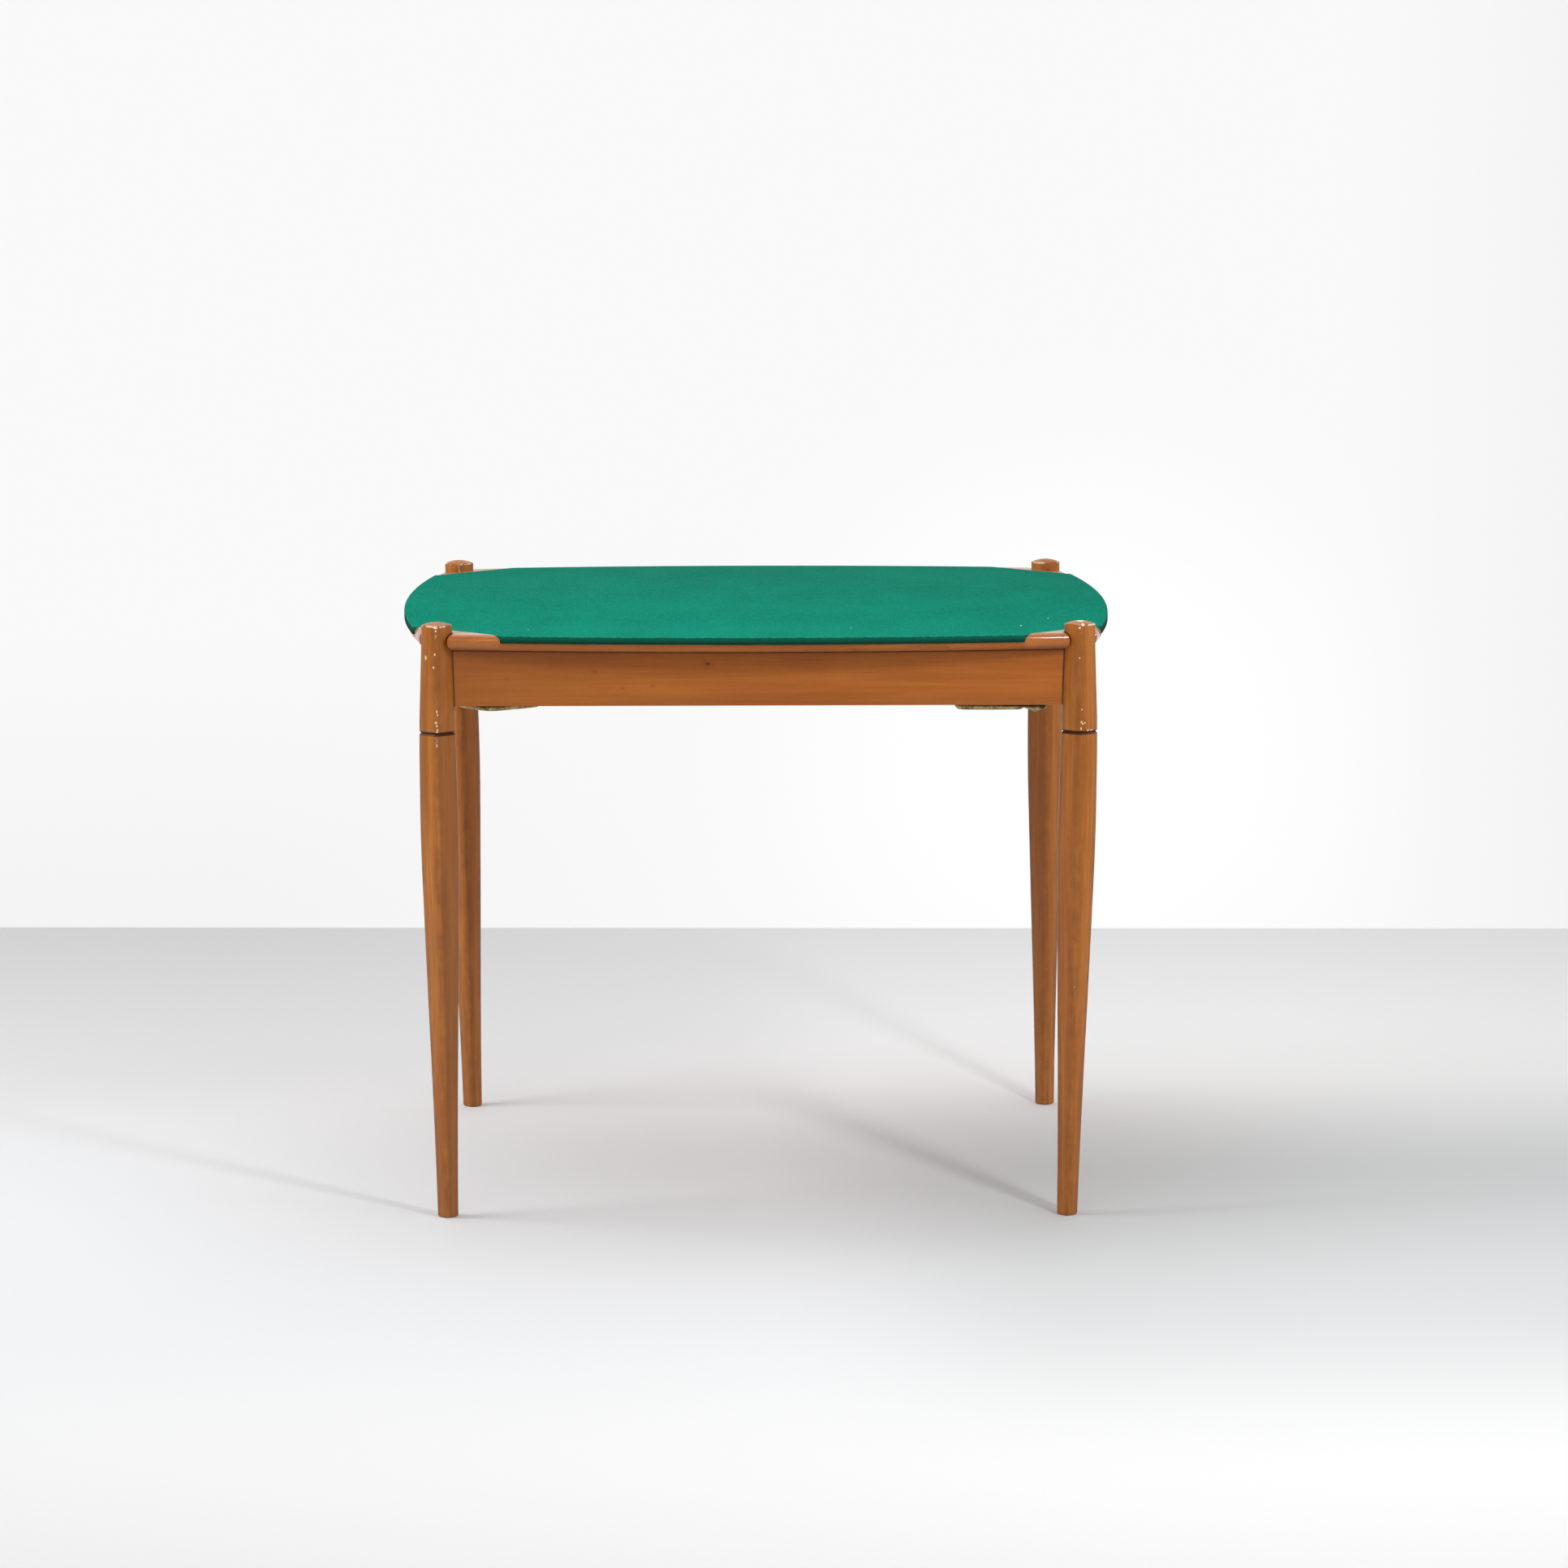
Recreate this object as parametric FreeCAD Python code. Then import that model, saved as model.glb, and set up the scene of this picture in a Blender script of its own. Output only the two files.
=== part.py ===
import FreeCAD, Part
import math
import os
from FreeCAD import Vector

os.makedirs("parts", exist_ok=True)

# Games table with a lift-off felt-covered top, unscrewing legs and four swing-out brass trays.
# The origin is on the floor under the middle of the table, and the front faces -Y.
# Corners and sides are modelled at the front right or the front, and turned into place.

# Driving dimensions, in millimetres
total_height = 762.0
overrun = 5.0
edge_match = 0.01

# Top
top_width = 921.0
top_thickness = 20.0
head_projection = 14.0
side_bow = 38.0
outline_corner_round = 12.0
edge_upper_round = 8.0
edge_lower_round = 9.0
felt_thickness = 1.2
edge_strip_height = 9.5
edge_strip_width = 12.0
reverse_thickness = 1.0
seam_setbacks = {"front_right": 28.0, "back_right": 30.0, "back_left": 30.0, "front_left": 34.0}
finger_gap = 13.5
finger_end_round = 9.5
finger_plan_round = 2.5
head_clearance = 0.5

# Legs
leg_margin = 56.0
joint_below_apron = 33.5
head_width = 38.8
head_parallel_height = 18.0
dome_rise = 4.5
block_width = 45.0
block_taper_end = 15.0
leg_widest = 47.8
foot_chamfer = 2.0
joint_chamfer = 2.1
arris_angle = 8.0
arris_edge_share = 0.978
facet_middle_share = 0.84
leg_height_shares = (0.0, 0.16, 0.32, 0.43, 0.53, 0.63, 0.73, 0.82, 0.91, 1.0)
leg_width_shares = (0.54, 0.61, 0.71, 0.79, 0.856, 0.92, 0.98, 1.0, 0.985, 0.945)

# How far each foot leans in from its joint, along the side with the tray and away from that side.
# The legs of the real table don't lean quite alike.
foot_insets = {
    "front_right": (12.0, 10.0),
    "back_right": (10.0, -1.5),
    "back_left": (13.5, 10.0),
    "front_left": (10.0, 8.5),
}

# Leg joint
insert_diameter = 14.0
insert_length = 30.0
stud_end_gap = 3.0
stud_diameter = 8.0
stud_clearance = 0.05
stud_depth = 40.0
stud_chamfer = 1.0

# Aprons
apron_height = 72.5
apron_thickness = 20.0
apron_proud = 3.5
tenon_thickness = 8.0
tenon_height = 38.0
tenon_top_margin = 7.0
tenon_gap = 0.25

# Corner braces and their screws
brace_reach = 74.0
brace_thickness = 22.0
brace_height = 45.0
brace_lift = 5.0
lag_diameter = 6.0
lag_head_diameter = 10.0
lag_head_height = 4.0
lag_height = 12.0
screw_diameter = 4.0
screw_head_diameter = 8.0
screw_head_height = 3.0
screw_pocket_depth = 5.0
screw_bite = 11.0
pocket_clearance = 0.5

# Trays
tray_length = 91.0
tray_width = 78.0
tray_bow = 3.0
tray_depth = 6.2
tray_wall = 1.2
tray_corner_round = 14.0
tray_base_round = 3.0
flange_width = 1.2
flange_thickness = 1.6
tray_offset_along = 56.4
tray_offset_in = 41.0
pivot_from_leg = 55.5
ear_radius = 14.5
boss_radius = 13.0
boss_band = 1.8
boss_cone = 1.8
boss_end_radius = 6.0
washer_thickness = 1.8
washer_diameter = 14.0
pivot_diameter = 4.5
pivot_clearance = 0.08
pivot_bite = 22.0
knob_diameter = 10.0
knob_band = 0.6
knob_point = 2.6
knob_length = 2.8
tray_rest_angles = {"front_right": 0.0, "back_right": 3.0, "back_left": -4.0, "front_left": -52.0}

# Places worked out from the driving dimensions
leg_spacing = top_width - 2 * leg_margin
half_spacing = leg_spacing / 2
half_top = top_width / 2
top_surface_height = total_height - head_projection
top_underside = top_surface_height - top_thickness
felt_edge_height = top_underside + edge_strip_height
apron_bottom = top_underside - apron_height
joint_height = apron_bottom - joint_below_apron
stud_reach = insert_length - stud_end_gap
apron_front = half_spacing + apron_proud
apron_inner = apron_front - apron_thickness
apron_middle = (apron_front + apron_inner) / 2
finger_end = half_spacing - finger_gap
lag_level = apron_bottom + brace_lift + lag_height
pivot_along = half_spacing - pivot_from_leg
flange_top = apron_bottom - washer_thickness
boss_bottom = flange_top - flange_thickness - boss_band - boss_cone
corner_names = ("front_right", "back_right", "back_left", "front_left")
side_names = ("front", "right", "back", "left")
upward = Vector(0, 0, 1)


# Turns a shape by quarter turns about the middle of the table.
def turned(shape, quarters):
    copy = shape.copy()
    copy.rotate(Vector(0, 0, 0), upward, 90 * quarters)
    return copy


# Writes one named piece.
def save(name, shape):
    shape.exportStep("parts/" + name + ".step")
    solids = len(shape.Solids)
    print(name, "solids", solids, "volume", round(shape.Volume), "valid", shape.isValid())


def plan_prism(points, bottom, top):
    corners = [Vector(x, y, bottom) for x, y in points]
    face = Part.Face(Part.makePolygon(corners + corners[:1]))
    return face.extrude(Vector(0, 0, top - bottom))


def block_between(low, high):
    size = high.sub(low)
    return Part.makeBox(size.x, size.y, size.z, low)


# A rectangle with four bowed sides, measured to the middle of each side.
def bowed_face(half_long, half_wide, bow, height):
    x = half_long - bow
    y = half_wide - bow
    corners = [(x, y), (-x, y), (-x, -y), (x, -y)]
    middles = [(0, half_wide), (-half_long, 0), (0, -half_wide), (half_long, 0)]
    edges = []
    for index, middle in enumerate(middles):
        start = Vector(*corners[index], height)
        end = Vector(*corners[(index + 1) % len(corners)], height)
        edges.append(Part.Arc(start, Vector(*middle, height), end).toShape())
    return Part.Face(Part.Wire(edges))


def edges_at_height(shape, height):
    return [edge for edge in shape.Edges if all(abs(v.Z - height) < edge_match for v in edge.Vertexes)]


def upright_edges(shape):
    return [edge for edge in shape.Edges if edge.Vertexes[0].Z != edge.Vertexes[-1].Z]


# A bowed block with rounded corners, and rounded upper or lower edges where a radius is given.
def bowed_block(half_long, half_wide, bow, bottom, top, corner_round, upper_round, lower_round):
    block = bowed_face(half_long, half_wide, bow, bottom).extrude(Vector(0, 0, top - bottom))
    block = block.makeFillet(corner_round, upright_edges(block))
    if upper_round > 0:
        block = block.makeFillet(upper_round, edges_at_height(block, top))
    if lower_round > 0:
        block = block.makeFillet(lower_round, edges_at_height(block, bottom))
    return block


# The legs are square in section, set corner outwards, with bulging facets and soft arrises.
def leg_section(width, x, y, height):
    half = width / 2

    def at(angle, share):
        radians = math.radians(angle)
        return Vector(x + half * share * math.cos(radians), y + half * share * math.sin(radians), height)

    edges = []
    for arris in (0, 90, 180, 270):
        before = at(arris - arris_angle, arris_edge_share)
        after = at(arris + arris_angle, arris_edge_share)
        following = at(arris + 90 - arris_angle, arris_edge_share)
        edges.append(Part.Arc(before, at(arris, 1.0), after).toShape())
        edges.append(Part.Arc(after, at(arris + 45, facet_middle_share), following).toShape())
    return Part.Wire(edges)


# A leg solid through sections given as (width, inset in x, inset in y, height).
def leg_loft(sections, ruled):
    wires = []
    for width, inset_x, inset_y, height in sections:
        wires.append(leg_section(width, half_spacing - inset_x, inset_y - half_spacing, height))
    return Part.makeLoft(wires, True, ruled)


# A round-topped column that is wider than the block everywhere below the head.
def head_dome():
    rim = head_width / 2
    radius = (rim * rim + dome_rise * dome_rise) / (2 * dome_rise)
    centre = Vector(half_spacing, -half_spacing, total_height - radius)
    column = Part.makeCylinder(radius, centre.z - joint_height, Vector(centre.x, centre.y, joint_height))
    return Part.makeSphere(radius, centre).fuse(column)


# The upper block without its mortises and bore, from the joint to the domed head.
def leg_block_blank():
    straight_bottom = joint_height + joint_chamfer
    taper_bottom = straight_bottom + block_taper_end
    rim_height = total_height - dome_rise
    taper_top = rim_height - head_parallel_height
    chamfered = leg_loft([
        (block_width - 2 * joint_chamfer, 0, 0, joint_height),
        (block_width, 0, 0, straight_bottom),
        (block_width, 0, 0, taper_bottom),
        (head_width, 0, 0, taper_top),
        (head_width, 0, 0, total_height),
    ], True)
    return chamfered.common(head_dome())


def tenon_box():
    top = top_underside - tenon_top_margin
    end = apron_middle - tenon_thickness / 2 - tenon_gap
    low = Vector(half_spacing - block_width, -apron_middle - tenon_thickness / 2, top - tenon_height)
    high = Vector(end, -apron_middle + tenon_thickness / 2, top)
    return block_between(low, high)


# The same tenon on the right-hand apron, at the front right corner.
def side_tenon_box():
    low_x = apron_middle - tenon_thickness / 2
    top = top_underside - tenon_top_margin
    end = apron_middle - tenon_thickness / 2 - tenon_gap
    low = Vector(low_x, -end, top - tenon_height)
    high = Vector(low_x + tenon_thickness, block_width - half_spacing, top)
    return block_between(low, high)


# A cylinder up from the leg joint, on the axis of the leg.
def joint_cylinder(diameter, length):
    return Part.makeCylinder(diameter / 2, length, Vector(half_spacing, -half_spacing, joint_height))


def insert_blank():
    return joint_cylinder(insert_diameter, insert_length)


def make_insert():
    return insert_blank().cut(joint_cylinder(stud_diameter, insert_length))


# A screw along the diagonal, through the brace into the block.
def lag_direction():
    return Vector(1, -1, 0).normalize()


def brace_face_distance():
    return (leg_spacing - (2 * apron_inner - brace_reach)) / math.sqrt(2)


def lag_shank():
    start = Vector(half_spacing, -half_spacing, lag_level)
    return Part.makeCylinder(lag_diameter / 2, brace_face_distance(), start, lag_direction().negative())


def make_lag_screw():
    face = Vector(half_spacing, -half_spacing, lag_level).sub(lag_direction().multiply(brace_face_distance()))
    head = Part.makeCylinder(lag_head_diameter / 2, lag_head_height, face, lag_direction().negative())
    return lag_shank().fuse(head)


def make_leg_block():
    block = leg_block_blank()
    for tool in (tenon_box(), side_tenon_box(), insert_blank(), lag_shank()):
        block = block.cut(tool)
    return block


# The axis of a lower leg starts under its stud and leans evenly down to the foot.
def make_lower_leg(corner):
    inset_x, inset_y = foot_insets[corner]

    def section(width, height):
        lean = 1 - height / joint_height
        return width, inset_x * lean, inset_y * lean, height

    body_height = joint_height - foot_chamfer - joint_chamfer
    sections = []
    for height_share, width_share in zip(leg_height_shares, leg_width_shares):
        sections.append(section(leg_widest * width_share, foot_chamfer + body_height * height_share))
    foot_width = sections[0][0]
    shoulder_width = sections[-1][0]
    foot = leg_loft([section(foot_width - 2 * foot_chamfer, 0), sections[0]], True)
    shoulder = leg_loft([sections[-1], section(shoulder_width - 2 * joint_chamfer, joint_height)], True)
    leg = leg_loft(sections, False).fuse([foot, shoulder]).removeSplitter()
    return leg.cut(stud_blank())


def stud_blank():
    base = Vector(half_spacing, -half_spacing, joint_height - stud_depth)
    return Part.makeCylinder(stud_diameter / 2 - stud_clearance, stud_depth + stud_reach, base)


def make_stud():
    stud = stud_blank()
    return stud.makeChamfer(stud_chamfer, edges_at_height(stud, joint_height + stud_reach))


# The front apron is mitred behind the blocks, fitted to them and tenoned into them.
def make_apron():
    plan = [
        (-apron_front, -apron_front),
        (apron_front, -apron_front),
        (apron_inner, -apron_inner),
        (-apron_inner, -apron_inner),
    ]
    apron = plan_prism(plan, apron_bottom, top_underside)
    block = leg_block_blank()
    tenon = tenon_box().common(block)
    mirror_block = block.mirror(Vector(0, 0, 0), Vector(1, 0, 0))
    mirror_tenon = tenon.mirror(Vector(0, 0, 0), Vector(1, 0, 0))
    apron = apron.cut(block).cut(mirror_block)
    apron = apron.fuse([tenon, mirror_tenon]).removeSplitter()
    for hole in (pivot_shank(), front_brace_screw(), lag_shank()):
        apron = apron.cut(hole)
    for hole in (side_brace_screw(), lag_shank()):
        apron = apron.cut(turned(hole, -1))
    return apron


# The diagonal brace ties the two aprons together across the corner.
def make_brace():
    outer = brace_reach - brace_thickness * math.sqrt(2)
    plan = [
        (apron_inner, -apron_inner + outer),
        (apron_inner, -apron_inner + brace_reach),
        (apron_inner - brace_reach, -apron_inner),
        (apron_inner - outer, -apron_inner),
    ]
    bottom = apron_bottom + brace_lift
    brace = plan_prism(plan, bottom, bottom + brace_height)
    for tool in (lag_shank(), front_screw_pocket(), front_brace_screw()):
        brace = brace.cut(tool)
    return brace.cut(side_screw_pocket()).cut(side_brace_screw())


# A screw square to the front apron, its head sunk in a pocket in the slanting face of the brace.
def front_brace_screw():
    along = apron_inner - brace_reach + brace_thickness / math.sqrt(2)
    face = brace_thickness / math.sqrt(2)
    level = apron_bottom + brace_lift + brace_height / 2
    seat = Vector(along, -apron_inner + face - screw_pocket_depth, level)
    length = face - screw_pocket_depth + screw_bite
    shank = Part.makeCylinder(screw_diameter / 2, length, seat, Vector(0, -1, 0))
    head = Part.makeCone(screw_diameter / 2, screw_head_diameter / 2, screw_head_height, seat, Vector(0, 1, 0))
    return shank.fuse(head)


def front_screw_pocket():
    along = apron_inner - brace_reach + brace_thickness / math.sqrt(2)
    face = brace_thickness / math.sqrt(2)
    level = apron_bottom + brace_lift + brace_height / 2
    seat = Vector(along, -apron_inner + face - screw_pocket_depth, level)
    radius = screw_head_diameter / 2 + pocket_clearance
    return Part.makeCylinder(radius, screw_pocket_depth + brace_thickness, seat, Vector(0, 1, 0))


# The corner is alike on both sides of its diagonal.
def across_diagonal(shape):
    return shape.mirror(Vector(half_spacing, -half_spacing, 0), Vector(1, 1, 0).normalize())


def side_brace_screw():
    return across_diagonal(front_brace_screw())


def side_screw_pocket():
    return across_diagonal(front_screw_pocket())


# The board as one piece, before it is divided into felt, strips and corner pieces.
def top_blank():
    return bowed_block(half_top, half_top, side_bow, top_underside, top_surface_height,
                       outline_corner_round, edge_upper_round, edge_lower_round)


# What lies inside the felt, above the edge strips.
def felt_inside():
    half = half_top - felt_thickness
    return bowed_block(half, half, side_bow, felt_edge_height, top_surface_height - felt_thickness,
                       outline_corner_round, edge_upper_round - felt_thickness, 0)


def strip_inside(bottom, top):
    half = half_top - edge_strip_width
    return bowed_block(half, half, side_bow, bottom, top, outline_corner_round, 0, 0)


# The wood of a corner piece starts at a straight seam across the corner, a little different at each.
# The region is given as at the front right corner.
def corner_region(corner):
    seam_sum = leg_spacing - seam_setbacks[corner] * math.sqrt(2)
    plan = [(seam_sum, 0), (seam_sum, -seam_sum), (0, -seam_sum)]
    return plan_prism(plan, top_underside - overrun, top_surface_height + overrun)


def without_corners(shape):
    for quarters, corner in enumerate(corner_names):
        shape = shape.cut(turned(corner_region(corner), quarters))
    return shape


# Distance from the middle of the table to its bowed edge, at a place along that edge.
def edge_at(along):
    corner = half_top - side_bow
    radius = (corner * corner + side_bow * side_bow) / (2 * side_bow)
    return half_top - radius + math.sqrt(radius * radius - along * along)


# What is cut from the end of the front finger to round it over, above, below and in plan.
def finger_end_cutter():
    depth = edge_at(finger_end)
    start = finger_end - finger_end_round
    low = Vector(start, -half_top - overrun, top_underside - overrun)
    high = Vector(half_top, -half_spacing, top_surface_height + overrun)
    rounded_low = Vector(start - finger_end_round, -half_top - overrun, top_underside)
    rounded_high = Vector(finger_end, -half_spacing, top_surface_height)
    rounded = block_between(rounded_low, rounded_high)
    ends = [edge for edge in rounded.Edges
            if all(abs(v.X - finger_end) < edge_match for v in edge.Vertexes)
            and edge.Vertexes[0].Y != edge.Vertexes[-1].Y]
    rounded = rounded.makeFillet(finger_end_round, ends)
    plan_low = Vector(finger_end - finger_plan_round, -depth - overrun, top_underside - overrun)
    plan_high = Vector(finger_end, -depth + finger_plan_round, top_surface_height + overrun)
    pillar = Part.makeCylinder(finger_plan_round, top_thickness + 2 * overrun,
                               Vector(plan_low.x, plan_high.y, plan_low.z))
    plan_corner = block_between(plan_low, plan_high).cut(pillar)
    return block_between(low, high).cut(rounded).fuse(plan_corner)


def make_corner_piece(blank, corner):
    piece = blank.common(corner_region(corner))
    low = Vector(finger_end, -half_top, top_underside - overrun)
    high = Vector(half_top, -finger_end, top_surface_height + overrun)
    cutter = finger_end_cutter()
    hole = leg_section(head_hole_width(), half_spacing, -half_spacing, top_underside - overrun)
    hole = Part.Face(hole).extrude(Vector(0, 0, top_thickness + 2 * overrun))
    for tool in (block_between(low, high), cutter, across_diagonal(cutter), hole):
        piece = piece.cut(tool)
    return piece


# The head still widens a little where the top sits, so the hole is worked out there.
def head_hole_width():
    taper_bottom = joint_height + joint_chamfer + block_taper_end
    taper_top = total_height - dome_rise - head_parallel_height
    share = (taper_top - top_underside) / (taper_top - taper_bottom)
    return head_width + (block_width - head_width) * share + 2 * head_clearance


def make_felt(blank):
    low = Vector(-half_top, -half_top, felt_edge_height)
    high = Vector(half_top, half_top, top_surface_height + overrun)
    return without_corners(blank.common(block_between(low, high)).cut(felt_inside()))


def make_core():
    lower = strip_inside(top_underside + reverse_thickness, felt_edge_height)
    return without_corners(felt_inside().fuse(lower).removeSplitter())


def make_reverse_face():
    return without_corners(strip_inside(top_underside, top_underside + reverse_thickness))


# The four strips below the felt, told apart by their places.
def make_edge_strips(blank):
    low = Vector(-half_top, -half_top, top_underside - overrun)
    high = Vector(half_top, half_top, felt_edge_height)
    band = blank.common(block_between(low, high)).cut(strip_inside(top_underside, felt_edge_height))
    band = without_corners(band)
    strips = []
    for quarters in range(4):
        strips.append(min(band.Solids, key=lambda solid: turned(solid, -quarters).CenterOfMass.y))
    return strips


# Places a shape made about the tray pivot at the front right corner.
def at_pivot(shape):
    copy = shape.copy()
    copy.translate(Vector(pivot_along, -apron_middle, 0))
    return copy


# A bowed block over the place of the tray, drawn in from its outline by a margin.
def tray_block(margin, bottom, top, lower_round):
    half_long = tray_length / 2 - margin
    half_wide = tray_width / 2 - margin
    corner_round = tray_corner_round - margin
    block = bowed_block(half_long, half_wide, tray_bow, bottom, top, corner_round, 0, lower_round)
    block.translate(Vector(-tray_offset_along, tray_offset_in, 0))
    return block


# Where a line from a point touches the rounded end of the ear.
def tangent_point(point, side):
    distance = math.hypot(*point)
    angle = math.atan2(point[1], point[0]) + side * math.acos(ear_radius / distance)
    return ear_radius * math.cos(angle), ear_radius * math.sin(angle)


# Turns an outline of (radius, height) points about the pivot into a solid.
def revolved(outline):
    corners = [Vector(radius, 0, height) for radius, height in outline]
    return Part.Face(Part.makePolygon(corners + corners[:1])).revolve(Vector(0, 0, 0), upward, 360)


# The pressed boss under the ear, which the pivot screw runs through.
def make_boss():
    top = flange_top - flange_thickness
    return revolved([
        (0, top),
        (boss_radius, top),
        (boss_radius, top - boss_band),
        (boss_end_radius, boss_bottom),
        (0, boss_bottom),
    ])


def make_tray(rest_angle):
    base = flange_top - tray_depth
    rim_bottom = flange_top - flange_thickness
    wall_inside = flange_width + tray_wall
    outside = tray_block(flange_width, base, flange_top, tray_base_round)
    inside = tray_block(wall_inside, base + tray_wall, flange_top, tray_base_round - tray_wall)
    flange = tray_block(0, rim_bottom, flange_top, 0)
    front_point = (-tray_offset_along, tray_offset_in - tray_width / 2)
    side_point = (tray_length / 2 - tray_offset_along, tray_offset_in)
    plan = [
        tangent_point(front_point, 1),
        tangent_point(side_point, -1),
        side_point,
        (-tray_offset_along, tray_offset_in),
        front_point,
    ]
    tongue = plan_prism(plan, rim_bottom, flange_top)
    ear = Part.makeCylinder(ear_radius, flange_thickness, Vector(0, 0, rim_bottom))
    tray = outside.fuse([flange, tongue, ear, make_boss()]).cut(inside).removeSplitter()
    bore_radius = pivot_diameter / 2 + pivot_clearance
    bore = Part.makeCylinder(bore_radius, flange_top - boss_bottom, Vector(0, 0, boss_bottom))
    tray = tray.cut(bore)
    tray.rotate(Vector(0, 0, 0), upward, rest_angle)
    return at_pivot(tray)


def pivot_shank():
    length = apron_bottom + pivot_bite - boss_bottom
    return at_pivot(Part.makeCylinder(pivot_diameter / 2, length, Vector(0, 0, boss_bottom)))


# The pivot screw ends below the boss in a small tapered knob.
def make_pivot_screw():
    knob = revolved([
        (0, boss_bottom),
        (knob_diameter / 2, boss_bottom),
        (knob_diameter / 2, boss_bottom - knob_band),
        (knob_point / 2, boss_bottom - knob_length),
        (0, boss_bottom - knob_length),
    ])
    return pivot_shank().fuse(at_pivot(knob)).removeSplitter()


def make_pivot_washer():
    disc = Part.makeCylinder(washer_diameter / 2, washer_thickness, Vector(0, 0, flange_top))
    bore = Part.makeCylinder(pivot_diameter / 2 + pivot_clearance, washer_thickness, Vector(0, 0, flange_top))
    return at_pivot(disc.cut(bore))


# One node of four alike pieces, one to a corner.
def save_group(name, shapes):
    save(name, Part.makeCompound([turned(shape, quarters) for quarters in range(4) for shape in shapes]))


def build_frame():
    block = make_leg_block()
    brace = make_brace()
    apron = make_apron()
    for quarters, corner in enumerate(corner_names):
        save("leg_block_" + corner, turned(block, quarters))
        save("corner_brace_" + corner, turned(brace, quarters))
    for quarters, side in enumerate(side_names):
        save("apron_" + side, turned(apron, quarters))
    save_group("leg_inserts", [make_insert()])
    save_group("lag_screws", [make_lag_screw()])
    save_group("brace_screws", [front_brace_screw(), side_brace_screw()])


def build_legs():
    stud = make_stud()
    for quarters, corner in enumerate(corner_names):
        save("lower_leg_" + corner, turned(make_lower_leg(corner), quarters))
        save("leg_stud_" + corner, turned(stud, quarters))


def build_top():
    blank = top_blank()
    save("playing_felt", make_felt(blank))
    save("top_core", make_core())
    save("reverse_face", make_reverse_face())
    for quarters, corner in enumerate(corner_names):
        save("top_corner_" + corner, turned(make_corner_piece(blank, corner), quarters))
    for side, strip in zip(side_names, make_edge_strips(blank)):
        save("edge_strip_" + side, strip)


def build_trays():
    for quarters, corner in enumerate(corner_names):
        save("tray_" + corner, turned(make_tray(tray_rest_angles[corner]), quarters))
    save_group("tray_pivot_screws", [make_pivot_screw()])
    save_group("tray_washers", [make_pivot_washer()])


build_frame()
build_legs()
build_top()
build_trays()
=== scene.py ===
import math

import bmesh
import bpy
from mathutils import Matrix, Vector


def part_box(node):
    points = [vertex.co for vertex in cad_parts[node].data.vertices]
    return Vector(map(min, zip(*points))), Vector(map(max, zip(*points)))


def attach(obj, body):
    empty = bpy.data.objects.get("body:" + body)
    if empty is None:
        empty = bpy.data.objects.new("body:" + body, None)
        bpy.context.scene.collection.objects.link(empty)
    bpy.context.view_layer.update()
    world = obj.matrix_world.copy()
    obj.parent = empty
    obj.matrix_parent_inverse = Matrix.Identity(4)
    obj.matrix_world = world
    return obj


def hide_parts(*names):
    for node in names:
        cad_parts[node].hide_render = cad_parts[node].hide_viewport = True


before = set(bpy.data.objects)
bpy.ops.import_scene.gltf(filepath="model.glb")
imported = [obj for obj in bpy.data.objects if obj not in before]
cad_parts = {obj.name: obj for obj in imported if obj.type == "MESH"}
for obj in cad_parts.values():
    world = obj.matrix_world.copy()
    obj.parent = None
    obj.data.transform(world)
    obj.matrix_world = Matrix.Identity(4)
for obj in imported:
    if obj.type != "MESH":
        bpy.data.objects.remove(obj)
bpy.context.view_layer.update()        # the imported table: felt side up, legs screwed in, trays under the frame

corners = ["front_right", "back_right", "back_left", "front_left"]
sides = ["front", "right", "back", "left"]
upward = Vector((0, 0, 1))
middle = Vector((0, 0, 0))
print("frame loaded with", len(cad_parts), "nodes")

# Camera, fitted to the leg heads and feet in the photo
photoView = {
    "lens": 150.25,           # mm
    "sensorWidth": 36.0,      # mm
    "clip": (0.1, 100.0),     # metres
    "place": (-0.0818, -8.5898, 1.6306),
    "yaw": -0.0139,           # radians
    "pitch": 0.1306,          # radians below the level
    "roll": -0.001,           # radians
}


def makeCamera(view):
    data = bpy.data.cameras.new("photoCamera")
    data.lens = view["lens"]
    data.sensor_width = view["sensorWidth"]
    data.clip_start, data.clip_end = view["clip"]
    camera = bpy.data.objects.new("photoCamera", data)
    bpy.context.scene.collection.objects.link(camera)
    turn = Matrix.Rotation(view["yaw"], 4, "Z") @ Matrix.Rotation(math.pi / 2 - view["pitch"], 4, "X")
    roll = Matrix.Rotation(view["roll"], 4, "Z")
    camera.matrix_world = Matrix.Translation(view["place"]) @ turn @ roll
    bpy.context.scene.camera = camera


# Places that the finishes follow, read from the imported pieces
jointHeight, headTop = [end.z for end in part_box("leg_block_front_right")]
feltBottom, surfaceHeight = [end.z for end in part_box("playing_felt")]
railBottom, railTop = [end.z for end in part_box("apron_front")]
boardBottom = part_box("edge_strip_front")[0].z
boardHalf = -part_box("edge_strip_front")[0].y
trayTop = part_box("tray_front_right")[1].z
legAxis = sum(end.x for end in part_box("leg_stud_front_right")) / 2     # from both middle lines

slack = {                 # how near counts as touching, in metres
    "floor": 0.0005,
    "merge": 0.000002,
    "mergeArcs": 0.00001,
    "cut": 0.000001,
    "seam": 0.00002,
    "height": 0.0001,
}


def footCentre(corner):
    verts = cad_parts["lower_leg_" + corner].data.vertices
    points = [vert.co for vert in verts if vert.co.z < slack["floor"]]
    spans = [[abs(point[axis]) for point in points] for axis in (0, 1)]
    return [(min(span) + max(span)) / 2 for span in spans]


makeCamera(photoView)
bpy.context.scene.view_settings.view_transform = "Standard"
print("camera placed")


# Helpers for node trees

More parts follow.
